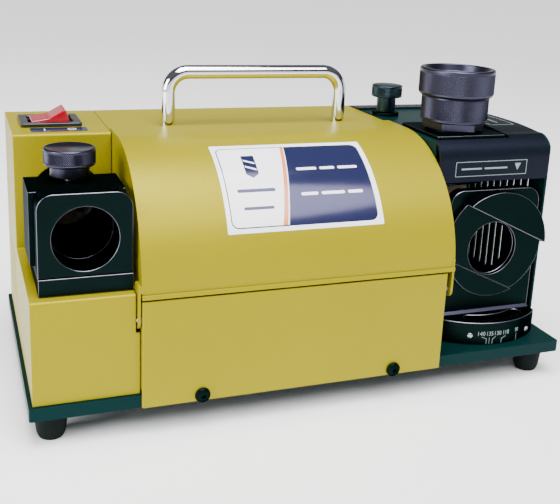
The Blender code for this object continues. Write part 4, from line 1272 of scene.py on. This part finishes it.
@dataclass
class PointPort:
    """Angle turret with its dial, the upright plate and the cam head with its slanting channel."""

    pivot: tuple[float, float] = TURRET_PIVOT
    radius: float = 49.5
    half_width: float = 33.0
    z: tuple[float, float] = (7.4, 21.5)
    clamp: tuple[float, float] = TURRET_CLAMP
    bore: tuple[float, float] = (278.0, 64.2)
    bore_radius: float = PORT_RADIUS
    head: tuple[float, float] = (279.5, 67.3)
    head_radius: float = 33.7
    slope: float = 25.3

    def build(self) -> None:
        """Turret, dial, clamp, plate and head."""
        self.turret()
        self.dial()
        self.clamp_parts()
        self.plate_and_head()
        log.info("point port: turret with dial, plate, cam head")

    def turret(self) -> None:
        """Arc-fronted sector with a curved slot."""
        x, y = self.pivot
        reach = math.degrees(math.asin(self.half_width / self.radius))
        outline = arc(self.pivot, self.radius, 270 - reach, 270 + reach, 48)
        outline += [(x + self.half_width, y - 26.0)] + arc(self.pivot, 12.0, -10, 190, 24)
        outline += [(x - self.half_width, y - 26.0)]
        made = Solid().prism(outline, "Z", *self.z)
        first, last, middle, half = 249.0, 297.0, 40.8, 4.0
        left, right = arc(self.pivot, middle, first, last, 1)
        slot = arc(self.pivot, middle + half, first, last, 24)
        slot += arc(right, half, last, last + 180, 12)[1:-1]
        slot += arc(self.pivot, middle - half, last, first, 24)
        slot += arc(left, half, first - 180, first, 12)[1:-1]
        made.minus(Solid().prism(slot, "Z", 0, 30))
        made.minus(Solid().rod("Z", self.pivot, 4.3, 0, 30, 32))
        # The turret's edges carry painted highlight in a lighter steel.
        made.refine("turret", "turret", OXIDE, Edge(0.35, 2, 40, True))

    def on_rim(self, s: float, z: float, height: float) -> Vector:
        """Point above the turret's round front, by the length along it from its middle."""
        x, y = self.pivot
        reach, turn = self.radius + height, math.radians(270) + s / self.radius
        return place(x + reach * math.cos(turn), y + reach * math.sin(turn), z)

    def dial(self) -> None:
        """Angle figures with their leader lines, and two rivets."""
        def s(angle: float) -> float:
            """Length along the rim, from its middle to an angle."""
            return math.radians(angle - 270) * self.radius

        leaders = [
            [(s(260.1), 7.8), (s(260.0), 11.2), (s(256.4), 12.4)],
            [(s(262.3), 7.8), (s(262.2), 11.9)],
            [(s(264.6), 7.8), (s(264.8), 11.1), (s(267.2), 12.3)],
            [(s(272.1), 7.8), (s(272.0), 10.7), (s(275.4), 12.1)],
            [(s(286.0), 7.8), (s(285.9), 12.4)],
        ]
        marks = wrapped([stroke(line, 0.3) for line in leaders], self.on_rim, (0.02, 0.1), 1.0, 0)
        for text, start, end in (
            ("140", 253.3, 259.3), ("135", 260.0, 265.4), ("130", 266.1, 271.9), ("118", 273.0, 278.6),
            ("90", 284.0, 287.9),
        ):
            marks.add(self.figures(text, s(start + 0.35), s(end - 0.35)))
        marks.piece("dial_marking", "turret", MARKING)
        spots = []
        for angle, z in ((247.7, 13.0), (298.5, 11.9)):
            turn = math.radians(angle)
            spots.append((self.on_rim(s(angle), z, -0.05), Vector((math.cos(turn), math.sin(turn), 0))))
        rivets = Solid().add(SCATTER.set_out(STEEL, button_head(1.9, 1.0, 0), spots))
        rivets.piece("dial_rivets", "turret", STEEL)

    def figures(self, text: str, start: float, end: float) -> bpy.types.Mesh:
        """One number, bent round the turret's front.

        Args:
            text: The digits.
            start: Where it begins along the rim.
            end: Where it ends.

        Returns:
            Its closed mesh.
        """
        curve = bpy.data.curves.new("figures", "FONT")
        curve.body = text
        curve.extrude = 0.5
        curve.resolution_u = 3
        host = bpy.data.objects.new("figures", curve)
        bpy.context.scene.collection.objects.link(host)
        mesh = baked(host)
        bpy.data.objects.remove(host, do_unlink=True)
        bpy.data.curves.remove(curve)
        xs = [vertex.co.x for vertex in mesh.vertices]
        ys = [vertex.co.y for vertex in mesh.vertices]
        for vertex in mesh.vertices:
            u = start + (vertex.co.x - min(xs)) / (max(xs) - min(xs)) * (end - start)
            z = 13.2 + (vertex.co.y - min(ys)) / (max(ys) - min(ys)) * 2.7
            vertex.co = self.on_rim(u, z, 0.06 + vertex.co.z * 0.08)
        return mesh

    def clamp_parts(self) -> None:
        """Pivot pin and socket-head clamp screw."""
        pin = fillet([(0, 0.5), (4.0, 0.5), (4.0, 21.8), (7.5, 21.8), (7.5, 24.0, 0.5), (0, 24.0)])
        Solid().lathe(pin, "Z", self.pivot, 48).refine("turret_pivot", ROOT, STEEL)
        shank = fillet([(0, 0.5), (3.2, 0.5), (3.2, 15.5), (3.7, 15.5), (3.7, 20.6, 0.5), (0, 20.6)])
        screw = Solid().lathe(shank, "Z", self.clamp, 48)
        screw.minus(Solid().prism(arc(self.clamp, 2.1, 10, 310, 5), "Z", 17.5, 25))
        screw.refine("clamp_screw", ROOT, OXIDE)

    def strip(self, low: float, high: float, reach: float = 60.0) -> Outline:
        """Strip parallel to the slanting channel, between two offsets from the bore."""
        slope = math.radians(self.slope)
        run = Vector((math.cos(slope), -math.sin(slope)))
        rise = Vector((math.sin(slope), math.cos(slope)))
        middle = Vector(self.bore)
        ends = ((-reach, low), (reach, low), (reach, high), (-reach, high))
        return [tuple(middle + run * a + rise * b) for a, b in ends]

    def plate_and_head(self) -> None:
        """Upright plate and the milled head in front of it."""
        # These edges carry painted highlight in a lighter steel.
        highlit_edges = Edge(0.35, 2, 40, highlighted=True)
        outline = fillet([(248, 21.8), (311, 21.8), (311, 101, 9.0), (248, 101, 9.0)], 12)
        plate = Solid().prism(outline, "Y", 24, 31)
        plate.minus(Solid().rod("Y", self.bore, self.bore_radius, 10, 40, 112))
        plate.refine("port_plate", "turret", OXIDE, highlit_edges)
        # Painted highlight: a strip of lighter steel along the plate's foot stands in for the pale line that
        # light from above draws there.
        highlight_strip = [(23.95, 21.6), (22.3, 21.6), (22.3, 22.1), (23.95, 23.6)]
        Solid().prism(highlight_strip, "X", 248.3, 310.7).piece("port_plate_bead", "turret", KNURLED, slotted=False)
        head = Solid().rod("Y", self.head, self.head_radius, 16.0, 23.7, 144)
        half = 17.75
        head.minus(Solid().prism(self.strip(-60, half), "Y", 10, 19.6))
        head.minus(Solid().prism(self.strip(-half, half), "Y", 10, 21.0))
        head.minus(Solid().rod("Y", self.bore, self.bore_radius, 5, 40, 112))
        # The cam head's edges carry painted highlight in a lighter steel.
        head.refine("cam_head", "turret", OXIDE, Edge(0.25, 2, 40, highlighted=True, clamp=False))


# ---------------------------------------------------------------- inside

@dataclass
class Drive:
    """Motor and wheels that show when the hood is open or through the ports."""

    axis: tuple[float, float] = (112.0, 72.0)
    radius: float = 42.0

    def build(self) -> None:
        """Finned can, finer wheels, and finishes for all plain parts that stay."""
        fins: Outline = []
        for start in range(0, 360, 5):
            fins += arc(self.axis, self.radius, start, start + 1.9, 2)
            fins += arc(self.axis, self.radius - 1.4, start + 2.5, start + 4.4, 2)
        can = Solid().prism(fins, "X", 84, 208)
        can.minus(Solid().rod("X", self.axis, 39.0, 80, 212, 96))
        can.refine("motor_can", ROOT, CAST)
        thin = fillet([(6.3, 25), (22.5, 25, 0.8), (22.5, 37, 0.8), (6.3, 37)])
        Solid().lathe(thin, "X", self.axis, 96).refine("thinning_wheel", "rotor", GRIT)
        cone = fillet([(6.3, 262), (42, 262, 0.8), (42, 280), (32.4, 296, 0.8), (6.3, 296)])
        Solid().lathe(cone, "X", self.axis, 112).refine("point_wheel", "rotor", GRIT)
        kept = {
            STEEL: (
                "thinning_spindle", "handle_nut_left", "handle_nut_right", "hood_pin_left", "hood_pin_right",
                "stop_arm", "motor_shaft", "rotor_core", "bearing_left", "bearing_right", "wheel_nut_left",
                "wheel_nut_right", "wheel_flange_left", "wheel_flange_right",
            ),
            CAST: ("motor_bell_left", "motor_bell_right", "motor_saddle_left", "motor_saddle_right"),
            WINDING: ("motor_stator",),
            BLACK_SMOOTH: ("partition",),
        }
        for finish, names in kept.items():
            for name in names:
                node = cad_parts[name]
                for index in range(len(node.data.materials)):
                    node.data.materials[index] = PALETTE(finish)
        log.info("drive: motor can, wheels, %d plain parts finished", sum(map(len, kept.values())))


# ---------------------------------------------------------------- studio

@dataclass
class Studio:
    """Pale floor, soft lights and the camera."""

    camera_at: tuple[float, float, float] = (-0.18691, -0.49385, 0.24948)
    lens: float = 56.5
    shift: tuple[float, float] = (-0.0114, -0.1156)

    def build(self) -> None:
        """Floor, sky, lights, camera."""
        self.floor()
        self.sky()
        self.sun((0.1, -0.6, 1.0), 0.8, 5.2)
        self.light("top", (-0.1, -0.15, 1.2), 0.7, 24.0)
        self.light("left", (-1.35, -0.35, 0.55), 0.8, 27.0)
        self.camera()
        log.info("studio: floor, lights, camera")

    def floor(self) -> None:
        """Wide pale floor."""
        mesh = bpy.data.meshes.new("floor")
        mesh.from_pydata([(-20, -20, 0), (20, -20, 0), (20, 20, 0), (-20, 20, 0)], [], [(0, 1, 2, 3)])
        paper = Finish("matte_paper", ("#F7F7F7", "#F3F3F3"), 400, (0.85, 0.95), grain_size=6, relief=0.01)
        mesh.materials.append(PALETTE(paper))
        floor = bpy.data.objects.new("floor", mesh)
        bpy.context.scene.collection.objects.link(floor)

    def sky(self) -> None:
        """Soft studio surround: pale horizon, a darker belt that metal shows its form by, grey overhead."""
        world = bpy.data.worlds.new("studio")
        world.use_nodes = True
        bpy.context.scene.world = world
        graph = Graph(world.node_tree)
        ray = graph.add("ShaderNodeTexCoord").outputs["Generated"]
        height = graph.add("ShaderNodeSeparateXYZ", {0: ray}).outputs[2]
        ramp = graph.add("ShaderNodeValToRGB", {0: height})
        for level, tone in ((0.13, "#F8F8F8"), (0.22, "#34353C")):
            ramp.color_ramp.elements.new(level).color = linear(tone)
        ramp.color_ramp.elements[0].color = linear("#FFFFFF")
        ramp.color_ramp.elements[-1].position = 0.6
        ramp.color_ramp.elements[-1].color = linear("#55565E")
        back = world.node_tree.nodes["Background"]
        world.node_tree.links.new(ramp.outputs[0], back.inputs[0])
        back.inputs[1].default_value = 1.4

    def sun(self, towards: tuple[float, float, float], spread: float, power: float) -> None:
        """Broad overhead light that reaches floor and machine alike."""
        lamp = bpy.data.lights.new("overhead", "SUN")
        lamp.angle = spread
        lamp.energy = power
        made = bpy.data.objects.new("overhead", lamp)
        made.rotation_euler = Vector(towards).to_track_quat("Z", "Y").to_euler()
        bpy.context.scene.collection.objects.link(made)

    def light(self, name: str, spot: tuple[float, float, float], size: float, power: float) -> None:
        """Square soft light aimed at the machine."""
        lamp = bpy.data.lights.new(name, "AREA")
        lamp.size = size
        lamp.energy = power
        made = bpy.data.objects.new(name, lamp)
        made.location = spot
        made.rotation_euler = (Vector(spot) - Vector((0, 0, 0.08))).to_track_quat("Z", "Y").to_euler()
        bpy.context.scene.collection.objects.link(made)

    def camera(self) -> None:
        """Camera low in front and to the left."""
        data = bpy.data.cameras.new("camera")
        data.sensor_width = 36.0
        data.lens = self.lens
        data.shift_x, data.shift_y = self.shift
        made = bpy.data.objects.new("camera", data)
        turn = Matrix((
            (0.93609, 0.04919, -0.34830), (-0.34892, 0.25532, -0.90170), (0.04457, 0.96560, 0.25617),
        ))
        made.matrix_world = Matrix.Translation(self.camera_at) @ turn.to_4x4()
        bpy.context.scene.collection.objects.link(made)
        bpy.context.scene.camera = made


def main() -> None:
    """Build every sub-assembly, then the studio."""
    logging.basicConfig(level=logging.INFO, format="%(message)s")
    for part in (
        Base(), LeftCasing(), ThinningPort(), Middle(), RightHousing(), SettingDevice(), Chuck(),
        PointPort(), Drive(), Studio(),
    ):
        part.build()


if __name__ == "__main__":
    main()
